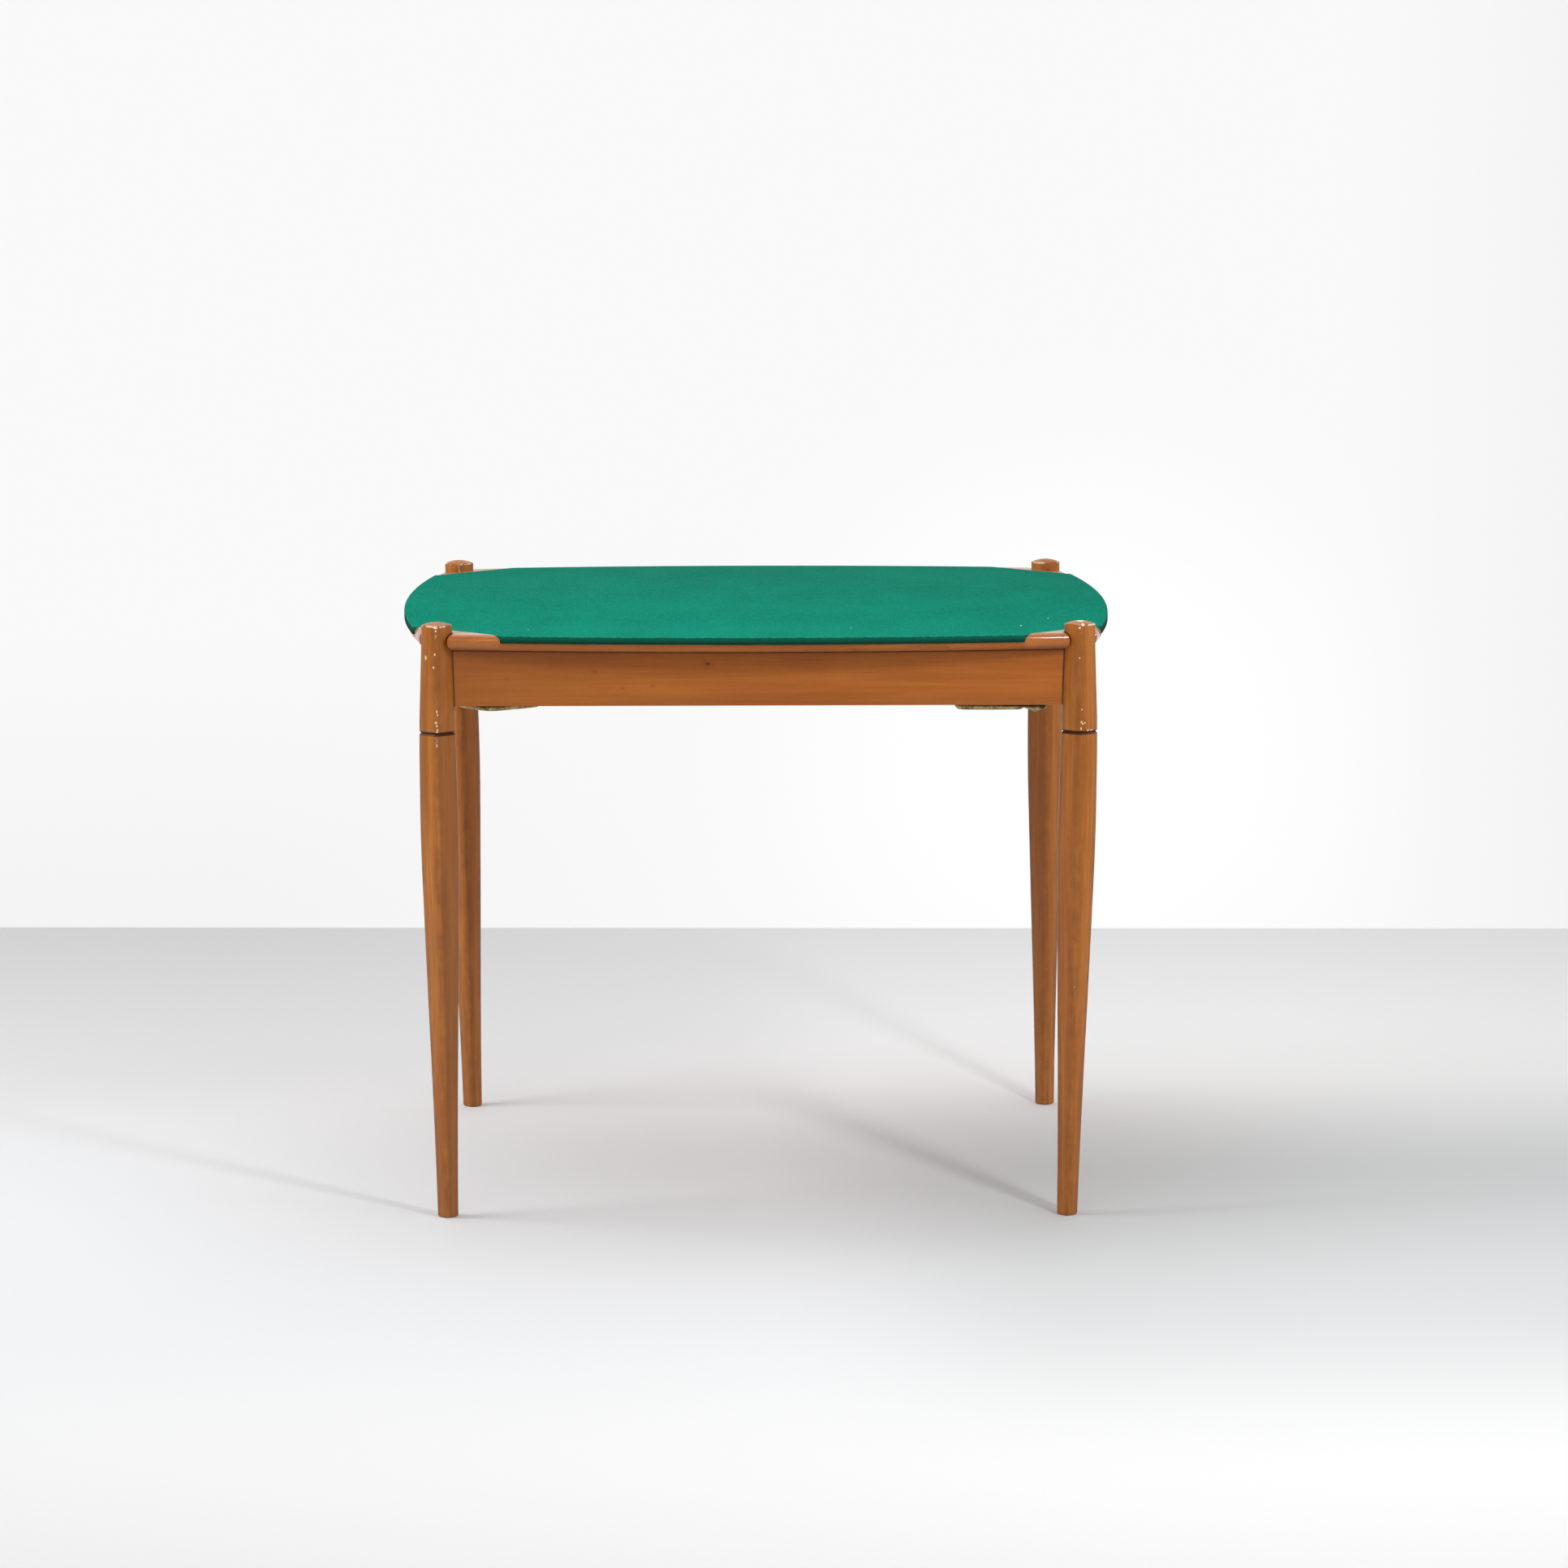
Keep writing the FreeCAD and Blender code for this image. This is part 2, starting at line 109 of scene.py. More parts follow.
def tint(red, green, blue):
    # a colour as the photo shows it, 0 to 255, turned into a shader's values
    levels = []
    for value in (red, green, blue):
        share = value / 255
        levels.append(share / 12.92 if share <= 0.04045 else ((share + 0.055) / 1.055) ** 2.4)
    return (*levels, 1.0)


def feed(tree, value, socket):
    if isinstance(value, bpy.types.NodeSocket):
        tree.links.new(value, socket)
    else:
        socket.default_value = value


def feedAll(tree, values, sockets):
    for name, value in values.items():
        feed(tree, value, sockets[name])


def place(tree, kind, inputs=None, **settings):
    node = tree.nodes.new("ShaderNode" + kind)
    for name, value in settings.items():
        setattr(node, name, value)
    feedAll(tree, inputs or {}, node.inputs)
    return node


def reckon(tree, operation, first, second=0.0, clamp=False):
    inputs = {0: first, 1: second}
    return place(tree, "Math", inputs, operation=operation, use_clamp=clamp).outputs[0]


# the sums that are used most, as in times(tree, first, second)
def shortFor(operation):
    return lambda tree, first, second: reckon(tree, operation, first, second)


times, plus, minus, larger = map(shortFor, ("MULTIPLY", "ADD", "SUBTRACT", "MAXIMUM"))


def reckonVector(tree, operation, first, second=(0, 0, 0)):
    return place(tree, "VectorMath", {0: first, 1: second}, operation=operation).outputs


# each value times its weight, added up
def weighted(tree, *parts):
    shares = [times(tree, value, weight) for value, weight in parts]
    total = shares[0]
    for share in shares[1:]:
        total = plus(tree, total, share)
    return total


def fade(tree, value, start, end, low=0.0, high=1.0):
    inputs = {"Value": value, "From Min": start, "From Max": end, "To Min": low, "To Max": high}
    return place(tree, "MapRange", inputs, interpolation_type="SMOOTHSTEP").outputs["Result"]


# a fade whose start and end are given from a place on the table
def fadeFrom(tree, value, origin, start, end, low=0.0, high=1.0):
    return fade(tree, value, origin + start, origin + end, low, high)


def axesOf(tree, vector):
    return place(tree, "SeparateXYZ", {0: vector}).outputs


def noise(tree, vector, scale, detail=2.0, roughness=0.5, distortion=0.0):
    inputs = {"Vector": vector, "Scale": scale, "Detail": detail, "Roughness": roughness,
              "Distortion": distortion}
    return place(tree, "TexNoise", inputs).outputs["Fac"]


# a value moved to and fro by a noise, by half of reach each way
def wavered(tree, value, grit, reach):
    sway = times(tree, minus(tree, grit, 0.5), reach)
    return plus(tree, value, sway)


# the distance to scattered points, and a chance value for each point
def scattered(tree, vector, scale):
    cells = place(tree, "TexVoronoi", {"Vector": vector, "Scale": scale, "Randomness": 1.0}).outputs
    return cells["Distance"], place(tree, "SeparateColor", {0: cells["Color"]}).outputs[0]


def stretched(tree, vector, scale, turn=(0, 0, 0), shift=(0, 0, 0)):
    inputs = {"Vector": vector, "Scale": scale, "Rotation": turn, "Location": shift}
    return place(tree, "Mapping", inputs).outputs[0]


def blended(tree, factor, first, second, blend="MIX"):
    node = place(tree, "Mix", data_type="RGBA", blend_type=blend)
    feedAll(tree, {0: factor, 6: first, 7: second}, node.inputs)
    return node.outputs[2]


def grey(tree, level):
    return place(tree, "CombineColor", {0: level, 1: level, 2: level}).outputs[0]


# a second colour laid over the first where the mask is
def overlaid(tree, colour, mask, strength, levels):
    return blended(tree, times(tree, mask, strength), colour, tint(*levels))


# A group takes a place, as Vector, and its own inputs, each with a kind and a usual value.
def newGroup(name, outputs, inputs=()):
    tree = bpy.data.node_groups.new(name, "ShaderNodeTree")
    tree.interface.new_socket(name="Vector", in_out="INPUT", socket_type="NodeSocketVector")
    for label, kind, value in inputs:
        socket = tree.interface.new_socket(name=label, in_out="INPUT", socket_type="NodeSocket" + kind)
        socket.default_value = value
    for label in outputs:
        kind = "Color" if label == "Color" else "Float"
        tree.interface.new_socket(name=label, in_out="OUTPUT", socket_type="NodeSocket" + kind)
    given = tree.nodes.new("NodeGroupInput").outputs
    result = tree.nodes.new("NodeGroupOutput").inputs
    return tree, given["Vector"], given, result


def useGroup(tree, name, inputs):
    node = tree.nodes.new("ShaderNodeGroup")
    node.node_tree = bpy.data.node_groups[name]
    feedAll(tree, inputs, node.inputs)
    return node.outputs


def newFinish(name):
    finish = bpy.data.materials.new(name)
    finish.use_nodes = True
    tree = finish.node_tree
    shader = tree.nodes["Principled BSDF"]
    where = tree.nodes.new("ShaderNodeTexCoord").outputs["Object"]
    return finish, tree, shader, where


def bumped(tree, shader, height, strength, distance):
    inputs = {"Height": height, "Strength": strength, "Distance": distance}
    tree.links.new(place(tree, "Bump", inputs).outputs[0], shader.inputs["Normal"])


# Effects shared by several finishes. The grain of every wood runs along Z in its own coordinates.

woodLayers = {            # size along the grain, then scale, detail, roughness and distortion
    "cloud": (0.16, 18, 2, 0.5, 0.4),
    "ring": (0.045, 110, 3, 0.55, 0.8),
    "streak": (0.022, 420, 4, 0.6, 0.3),
    "fibre": (0.03, 1900, 2, 0.6, 0.0),
    "dash": (0.14, 1500, 1, 0.4, 0.0),
}
woodWeights = {"cloud": 0.34, "ring": 0.34, "streak": 0.22, "fibre": 0.1}


def makeWoodFigure():
    tree, where, given, result = newGroup(
        "woodFigure", ["Color", "Height"],
        [("Pale", "Color", tint(186, 118, 62)), ("Deep", "Color", tint(146, 78, 34)),
         ("Contrast", "Float", 1.0)])
    layers = {}
    for name, (along, *values) in woodLayers.items():
        layers[name] = noise(tree, stretched(tree, where, (1, 1, along)), *values)
    tone = weighted(tree, *[(layers[name], weight) for name, weight in woodWeights.items()])
    offset = times(tree, minus(tree, tone, 0.5), given["Contrast"])
    tone = fade(tree, plus(tree, offset, 0.5), 0.3, 0.7)
    pores = fade(tree, layers["dash"], 0.6, 0.72)
    colour = blended(tree, tone, given["Deep"], given["Pale"])
    shade = minus(tree, 1.0, times(tree, pores, 0.16))
    darker = blended(tree, 1.0, colour, grey(tree, shade), "MULTIPLY")
    height = minus(tree, times(tree, layers["fibre"], 0.5), times(tree, pores, 0.6))
    feedAll(tree, {"Color": darker, "Height": height}, result)


legMarks = {              # metres: where each mark ends, where it is full, and its strengths there
    "chipSway": 0.004,
    "chipLine": (0.0026, 0.0008),
    "nearJoint": (0.045, 0.004, 0.0, 0.2),      # chips gather at the joint and at the rim of the head
    "nearHead": (0.03, 0.004, 0.0, 0.14),
    "rimSway": 0.0012,
    "rimLine": (0.0021, 0.0009),
    "rub": (0.010, 0.002),
    "groove": (0.0031, 0.0022),
    "innerSide": (0.001, -0.004),
    "headRim": 0.0045,            # below the top of the head
    "fingerNose": (0.0235, 0.0195),             # inside the axis of the leg, and below the rim
    "fingerRing": (0.0128, 0.0108),
    "fingerSide": (-0.001, 0.001),
}


# Chips and rubbed spots along the four arrises of a leg, and round its rims.
# A leg's arrises face along X and Y from its axis, which leans below the joint.
def makeLegWear():
    tree, where, given, result = newGroup(
        "legWearAndShade", ["Chips", "Rub", "Groove", "Inner Side", "Finger Shadow"],
        [("Axis", "Float", 0.4), ("Foot X", "Float", 0.39), ("Foot Y", "Float", 0.39),
         ("Joint Height", "Float", 0.6), ("Head Rim", "Float", 0.75)])
    spot = axesOf(tree, where)
    below = reckon(tree, "DIVIDE", spot["Z"], given["Joint Height"])
    below = reckon(tree, "SUBTRACT", 1.0, below, clamp=True)
    outward = []
    for name in ("X", "Y"):
        lean = minus(tree, given["Foot " + name], given["Axis"])
        axis = plus(tree, given["Axis"], times(tree, below, lean))
        outward.append(minus(tree, reckon(tree, "ABSOLUTE", spot[name]), axis))
    near = reckon(tree, "MINIMUM", *[reckon(tree, "ABSOLUTE", away) for away in outward])
    fromJoint = reckon(tree, "ABSOLUTE", minus(tree, spot["Z"], given["Joint Height"]))
    fromRim = reckon(tree, "ABSOLUTE", minus(tree, spot["Z"], given["Head Rim"]))
    grit = noise(tree, where, 620, 3, 0.7)
    patch = noise(tree, stretched(tree, where, (1, 1, 0.7)), 75, 2, 0.6)
    line = fade(tree, wavered(tree, near, grit, legMarks["chipSway"]), *legMarks["chipLine"])
    pull = plus(tree, fade(tree, fromJoint, *legMarks["nearJoint"]),
                fade(tree, fromRim, *legMarks["nearHead"]))
    stretch = fade(tree, plus(tree, patch, pull), 0.72, 0.77)
    fine = fade(tree, grit, 0.5, 0.58)
    arris = times(tree, times(tree, line, stretch), fine)
    fromRim = plus(tree, fromRim, times(tree, grit, legMarks["rimSway"]))
    rim = times(tree, fade(tree, fromRim, *legMarks["rimLine"]), fade(tree, patch, 0.5, 0.58))
    distance, chance = scattered(tree, where, 55.0)
    speck = times(tree, fade(tree, distance, 0.075, 0.045), fade(tree, chance, 0.93, 0.94))
    chips = larger(tree, larger(tree, arris, rim), times(tree, speck, 0.7))
    rub = times(tree, fade(tree, near, *legMarks["rub"]), fade(tree, patch, 0.35, 0.65, 0.5, 1.0))
    # a painted shadow ring on the head, round the nose of each finger of the board
    noseIn, noseDown = legMarks["fingerNose"]
    noseHeight = minus(tree, given["Head Rim"], noseDown)
    rings = []
    for along, across in (outward, outward[::-1]):
        reach = place(tree, "CombineXYZ", {0: minus(tree, along, -noseIn),
                                           1: minus(tree, spot["Z"], noseHeight)}).outputs[0]
        reach = reckonVector(tree, "LENGTH", reach)["Value"]
        rings.append(times(tree, fade(tree, reach, *legMarks["fingerRing"]),
                           fade(tree, across, *legMarks["fingerSide"])))
    feedAll(tree, {"Chips": chips, "Rub": rub, "Groove": fade(tree, fromJoint, *legMarks["groove"]),
                   "Inner Side": fade(tree, outward[0], *legMarks["innerSide"]),
                   "Finger Shadow": larger(tree, *rings)}, result)


# Pin-sized dark flecks, thinly scattered
def makePinKnots():
    tree, where, given, result = newGroup("pinKnots", ["Mask"], [("Density", "Float", 9.0)])
    distance, chance = scattered(tree, stretched(tree, where, (1, 1, 0.6)), given["Density"])
    ragged = plus(tree, distance, times(tree, noise(tree, where, 700, 2), 0.012))
    mask = times(tree, fade(tree, ragged, 0.03, 0.014), fade(tree, chance, 0.6, 0.62))
    feedAll(tree, {"Mask": mask}, result)


# One ragged spot at a chosen place, as large each way as its size says
def makeSpot():
    tree, where, given, result = newGroup(
        "spot", ["Mask"], [("Centre", "Vector", (0, 0, 0)), ("Size", "Vector", (0.001, 1, 0.001))])
    offset = reckonVector(tree, "SUBTRACT", where, given["Centre"])[0]
    share = reckonVector(tree, "LENGTH", reckonVector(tree, "DIVIDE", offset, given["Size"])[0])["Value"]
    ragged = wavered(tree, share, noise(tree, where, 800, 2, 0.6), 1.3)
    feedAll(tree, {"Mask": fade(tree, ragged, 1.15, 0.8)}, result)


# One knot at a chosen place, wider along the grain than across it
def makeKnot():
    tree, where, given, result = newGroup(
        "knot", ["Mask", "Halo"], [("Centre", "Vector", (0, 0, 0)), ("Radius", "Float", 0.002)])
    offset = reckonVector(tree, "SUBTRACT", where, given["Centre"])[0]
    length = reckonVector(tree, "LENGTH", stretched(tree, offset, (0.75, 1, 1.2)))["Value"]
    grit = times(tree, noise(tree, where, 900, 2), 0.0012)
    share = reckon(tree, "DIVIDE", plus(tree, length, grit), given["Radius"])
    feedAll(tree, {"Mask": fade(tree, share, 1.5, 0.8), "Halo": fade(tree, share, 5.5, 1.0)}, result)


# Fine scuffs that dull or brighten a polished face
def makeHandling():
    tree, where, _, result = newGroup("handling", ["Mask", "Scratch"])
    cloud = noise(tree, where, 22, 4, 0.65)
    hair = noise(tree, stretched(tree, where, (1, 0.05, 1), (0.5, 0.9, 0.35)), 700, 1, 0.4)
    other = noise(tree, stretched(tree, where, (1, 0.05, 1), (1.3, 0.2, 2.1)), 600, 1, 0.4)
    scratch = larger(tree, fade(tree, hair, 0.7, 0.76), fade(tree, other, 0.71, 0.77))
    feedAll(tree, {"Mask": fade(tree, cloud, 0.35, 0.65), "Scratch": scratch}, result)


for makeEffect in (makeWoodFigure, makeLegWear, makePinKnots, makeSpot, makeKnot, makeHandling):
    makeEffect()
print("shared effects made")


# Finishes

woods = {                 # pale and deep colour of the grain, and its contrast
    "leg": ((196, 122, 50), (164, 92, 28), 1.25),
    "rail": ((184, 108, 42), (156, 84, 27), 1.0),
    "corner": ((184, 108, 42), (152, 80, 25), 1.1),
    "strip": ((171, 101, 42), (143, 78, 28), 1.1),
    "plain": ((206, 164, 112), (166, 118, 72), 1.3),
}
grainTurns = {"upright": (0, 0, 0), "alongX": (0, -math.pi / 2, 0), "alongY": (math.pi / 2, 0, 0)}
gloss = {                 # specular level, coat weight and coat roughness
    "satin": (0.2, 0.06, 0.3),
    "polished": (0.22, 0.2, 0.18),
    "bright": (0.2, 0.6, 0.08),
}
polish = {
    # pale worn wood, also laid faintly along every arris as a painted highlight
    "worn": (226, 180, 136),
    "bare": (252, 226, 198),
    # the darkest painted shade: in the joint groove, round the fingers, at the rails' seats, under the board and
    # in a notch
    "deepShade": (58, 28, 12),
    "rubbed": (112, 64, 24),
    "shaded": (112, 68, 38),
    "halo": (120, 58, 24),        # round a knot
    "knot": (66, 28, 12),
    "fleck": (92, 42, 18),
    "sawn": (120, 80, 46),
}


def startWood(name, wood, turn, shift=(0, 0, 0)):
    finish, tree, shader, where = newFinish(name)
    pale, deep, contrast = woods[wood]
    turned = stretched(tree, where, (1, 1, 1), grainTurns[turn], shift)
    figure = useGroup(tree, "woodFigure", {"Vector": turned, "Pale": tint(*pale), "Deep": tint(*deep),
                                           "Contrast": contrast})
    handled = useGroup(tree, "handling", {"Vector": where})
    return finish, tree, shader, where, figure, handled


# bare is the mask where the polish has gone
def endPolished(tree, shader, where, colour, figure, handled, bare, level):
    specular, coat, coatRoughness = gloss[level]
    rough = fade(tree, handled["Mask"], 0.0, 1.0, 0.34, 0.44)
    for mask, strength in ((bare, 0.3), (handled["Scratch"], 0.06)):
        rough = plus(tree, rough, times(tree, mask, strength))
    coating = fade(tree, bare, 0.0, 1.0, coat, 0.0)
    feedAll(tree, {"Base Color": colour, "Roughness": rough, "Specular IOR Level": specular,
                   "Coat Weight": coating, "Coat Roughness": coatRoughness}, shader.inputs)
    ripple = noise(tree, where, 230, 2, 0.6)
    height = minus(tree, figure["Height"], times(tree, bare, 1.6))
    height = plus(tree, height, times(tree, ripple, 1.6))
    bumped(tree, shader, height, 0.22, 0.0003)


# The rounded arrises of a copied piece carry an attribute, so that wear and a painted highlight can follow them.
def arrisOf(tree):
    return place(tree, "Attribute", attribute_name="arris").outputs["Fac"]


def arrisMask(tree, where, least):
    ragged = noise(tree, where, 160, 4, 0.7)
    return times(tree, arrisOf(tree), fade(tree, ragged, least, least + 0.06))


# the mask of the worn arrises, and the colour with them paler: strong where worn, and a faint painted highlight
# along every arris
def wornAndHighlitArrises(tree, where, colour, least, strong, paintedHighlight):
    worn = arrisMask(tree, where, least)
    rubbed = larger(tree, times(tree, worn, strong), times(tree, arrisOf(tree), paintedHighlight))
    return worn, blended(tree, rubbed, colour, tint(*polish["worn"]))


# Chips on the front legs: place across and up, then half their width and height, in metres
legChips = {
    "front_left": [(-0.4138, 0.7578, 0.0027, 0.0010), (-0.4055, 0.7566, 0.0030, 0.0018),
                   (-0.4050, 0.7520, 0.0011, 0.0014), (-0.3988, 0.7569, 0.0017, 0.0009),
                   (-0.4064, 0.7228, 0.0010, 0.0016), (-0.4081, 0.7064, 0.0010, 0.0013),
                   (-0.4180, 0.7177, 0.0012, 0.0026), (-0.4042, 0.6509, 0.0008, 0.0018),
                   (-0.4032, 0.6467, 0.0007, 0.0015), (-0.4053, 0.6370, 0.0016, 0.0013),
                   (-0.4043, 0.6330, 0.0015, 0.0010), (-0.4036, 0.6275, 0.0010, 0.0014),
                   (-0.4041, 0.6250, 0.0013, 0.0008)],
    "front_right": [(0.4052, 0.7619, 0.0045, 0.0009), (0.4074, 0.7582, 0.0021, 0.0017),
                    (0.4032, 0.7545, 0.0016, 0.0013), (0.4035, 0.7164, 0.0008, 0.0009),
                    (0.4063, 0.6514, 0.0007, 0.0009), (0.4061, 0.6358, 0.0010, 0.0011),
                    (0.4075, 0.6335, 0.0010, 0.0011), (0.4103, 0.6343, 0.0008, 0.0009),
                    (0.4054, 0.6275, 0.0008, 0.0019), (0.4144, 0.6245, 0.0015, 0.0010),
                    (0.4190, 0.6245, 0.0022, 0.0007)],
}


through = 10               # half the depth of a spot that marks a piece from front to back
grainSteps = (0.37, 0.21, 0.53)      # from one leg's grain to the next
innerShade = {"front_left": 0.5, "front_right": 0.05, "back_left": 0.1, "back_right": 0.25}


def makeLegFinish(index, corner):
    finish, tree, shader, where, figure, handled = startWood(
        "polishedLeg_" + corner, "leg", "upright", [step * index for step in grainSteps])
    foot = footCentre(corner)
    wear = useGroup(tree, "legWearAndShade", {"Vector": where, "Axis": legAxis, "Foot X": foot[0], "Foot Y": foot[1],
                                      "Joint Height": jointHeight, "Head Rim": headTop - legMarks["headRim"]})
    chips = wear["Chips"]
    for across, height, halfWidth, halfHeight in legChips.get(corner, ()):
        spot = useGroup(tree, "spot", {"Vector": where, "Centre": (across, 0, height),
                                       "Size": (halfWidth, through, halfHeight)})["Mask"]
        chips = larger(tree, chips, spot)
    cloud = fade(tree, noise(tree, stretched(tree, where, (1, 1, 0.12)), 55, 3, 0.6), 0.45, 0.68)
    shade = innerShade[corner]
    shaded = fadeFrom(tree, axesOf(tree, where)["Z"], jointHeight, -0.02, 0.02, shade, shade * 0.6)
    colour = figure["Color"]
    # Painted over the grain: painted shade in the groove at the joint and on the inner side facets, a painted
    # shadow round each finger's nose, and a faint painted highlight along every arris.
    for mask, strength, mark in ((cloud, 0.3, "rubbed"), (wear["Rub"], 0.5, "rubbed"),
                                 (wear["Inner Side"], shaded, "shaded"), (wear["Finger Shadow"], 0.85, "deepShade"),
                                 (arrisOf(tree), 0.12, "worn"), (wear["Groove"], 0.9, "deepShade"),
                                 (chips, 0.86, "bare")):
        colour = overlaid(tree, colour, mask, strength, polish[mark])
    endPolished(tree, shader, where, colour, figure, handled, chips, "polished")
    return finish


# Knots of the front rail, from the left, with their heights and sizes in metres
frontKnots = [((-0.3160, -0.408, 0.6896), 0.0009), ((-0.2058, -0.408, 0.6986), 0.0011),
              ((-0.1702, -0.408, 0.6779), 0.0008), ((-0.1334, -0.408, 0.6809), 0.0008),
              ((-0.0639, -0.408, 0.7085), 0.002)]
railSeat = {"along": 0.3813, "slope": 0.031, "width": 0.0014}    # where a rail's face meets the leg block
# Painted shade on a rail: under the overhang of the board, a painted shadow line below its edge, and darker low
# down and towards the left.
railShade = {              # metres: where each fade starts and ends, and its strengths there
    "overhangShade": (-0.012, -0.003, 0.0, 0.14),        # from the underside of the board
    "line": (-0.0012, 0.0003, 0.0, 0.8),        # from the line's own height
    "lineRest": -0.0058,      # the line from the board's underside, at the middle of the rail
    "lineRise": 0.0034,       # how much higher it lies at the legs, where the board stands out less
    "side": (-0.0002, -0.0009),   # from the top of the rail
    "low": (0.024, 0.0, 0.0, 0.22),             # from the bottom of the rail
    "left": (-0.1, -0.36, 0.0, 0.22),           # from the middle of the table
}


def makeRailFinish(name, turn, knots=()):
    finish, tree, shader, where, figure, handled = startWood(name, "rail", turn)
    colour = figure["Color"]
    for centre, radius in knots:
        knot = useGroup(tree, "knot", {"Vector": where, "Centre": centre, "Radius": radius})
        colour = overlaid(tree, colour, knot["Halo"], 0.3, polish["halo"])
        colour = overlaid(tree, colour, knot["Mask"], 0.8, polish["knot"])
    turned = stretched(tree, where, (1, 1, 1), grainTurns[turn])
    flecks = useGroup(tree, "pinKnots", {"Vector": turned, "Density": 14.0})["Mask"]
    worn = arrisMask(tree, where, 0.6)
    spot = axesOf(tree, where)
    along = reckon(tree, "ABSOLUTE", spot["Y" if turn == "alongY" else "X"])
    rise = times(tree, minus(tree, spot["Z"], jointHeight), railSeat["slope"])
    # a painted shadow line where the rail's face meets the leg block
    seat = fadeFrom(tree, minus(tree, along, rise), railSeat["along"], -railSeat["width"], 0.0)
    for mask, strength, mark in ((flecks, 0.6, "fleck"), (worn, 0.6, "worn"), (seat, 0.9, "deepShade")):
        colour = overlaid(tree, colour, mask, strength, polish[mark])
    # painted shade under the board and a painted shadow line, kept off the rail's top face
    overhangShade = fadeFrom(tree, spot["Z"], boardBottom, *railShade["overhangShade"])
    share = reckon(tree, "DIVIDE", along, legAxis)
    rise = times(tree, times(tree, share, share), railShade["lineRise"])
    rest = plus(tree, boardBottom + railShade["lineRest"], rise)
    line = fade(tree, minus(tree, spot["Z"], rest), *railShade["line"])
    onSide = fadeFrom(tree, spot["Z"], railTop, *railShade["side"])
    shadeUnderBoard = times(tree, larger(tree, overhangShade, line), onSide)
    colour = blended(tree, shadeUnderBoard, colour, tint(*polish["deepShade"]))
    # painted shade low on the rail and towards the left
    shaded = larger(tree, fadeFrom(tree, spot["Z"], railBottom, *railShade["low"]),
                    fade(tree, spot["X"], *railShade["left"]))
    colour = blended(tree, shaded, colour, tint(*polish["shaded"]))
    endPolished(tree, shader, where, colour, figure, handled, worn, "satin")
    return finish


# a small dark notch on a corner piece: its shade is painted
cornerNotchShade = {"Centre": (0.3829, 0, 0.7433), "Size": (0.0012, through, 0.0008)}
cornerShade = (0.011, 0.003, 0.0, 0.3)      # metres above the underside of the board, and strengths


def makeCornerFinish():
    finish, tree, shader, where, figure, handled = startWood("polishedCorners", "corner", "alongX")
    worn, colour = wornAndHighlitArrises(tree, where, figure["Color"], 0.5, 0.6, 0.2)
    low = fadeFrom(tree, axesOf(tree, where)["Z"], boardBottom, *cornerShade)
    colour = blended(tree, low, colour, tint(*polish["shaded"]))
    darkNotch = useGroup(tree, "spot", {"Vector": where, **cornerNotchShade})["Mask"]
    colour = overlaid(tree, colour, darkNotch, 0.85, polish["deepShade"])
    endPolished(tree, shader, where, colour, figure, handled, worn, "bright")
    return finish


def makeStripFinish(name, turn):
    finish, tree, shader, where, figure, handled = startWood(name, "strip", turn)
    worn, colour = wornAndHighlitArrises(tree, where, figure["Color"], 0.56, 0.7, 0.5)
    endPolished(tree, shader, where, colour, figure, handled, worn, "satin")
    return finish


def makePlainFinish():
    finish, tree, shader, where, figure, handled = startWood("plainWood", "plain", "alongX")
    sawn = noise(tree, stretched(tree, where, (1, 1, 9)), 60, 2, 0.5)
    colour = blended(tree, fade(tree, sawn, 0.45, 0.7, 0.0, 0.25), figure["Color"], tint(*polish["sawn"]))
    rough = fade(tree, handled["Mask"], 0.0, 1.0, 0.6, 0.75)
    feedAll(tree, {"Base Color": colour, "Roughness": rough}, shader.inputs)
    bumped(tree, shader, plus(tree, figure["Height"], sawn), 0.35, 0.0004)
    return finish


# The back and front tones are painted shade and painted light on the top; the edge and hem tones are painted
# shade down the side and a painted shadow at the lower edge.
feltCloth = {
    "top": (3, 139, 113),
    "shade": (1, 108, 88),
    "front": (16, 172, 148),
    "edge": (14, 58, 44),
    "hemShadow": (22, 26, 14),
    "rim": (60, 160, 136),
    "lint": (170, 210, 196),
    "scuff": (92, 176, 152),
    "backShade": (34, 98, 82),
    "sheen": (90, 200, 175),
}
# The side of the felt is darkened downwards as painted shade, and its lower edge carries a painted shadow.
feltEdge = {              # metres from the surface, or from the lower edge for the hem, and strengths
    "fuzz": (-0.0001, -0.0006),
    "sideShade": (-0.0006, -0.0016, 0.0, 0.74),
    "shaded": (-0.002, -0.0085, 0.0, 0.2),
    "hemShadow": (0.0022, 0.0006),
}
# Pale specks and rubbed places: across and back, half their width and depth, strength
feltMarks = [((0.3340, -0.3330), (0.0012, 0.007), 0.9), ((0.3734, -0.2434), (0.0010, 0.006), 0.7),
             ((0.1180, -0.3600), (0.0007, 0.004), 0.7), ((-0.2900, -0.3700), (0.0007, 0.004), 0.6)]


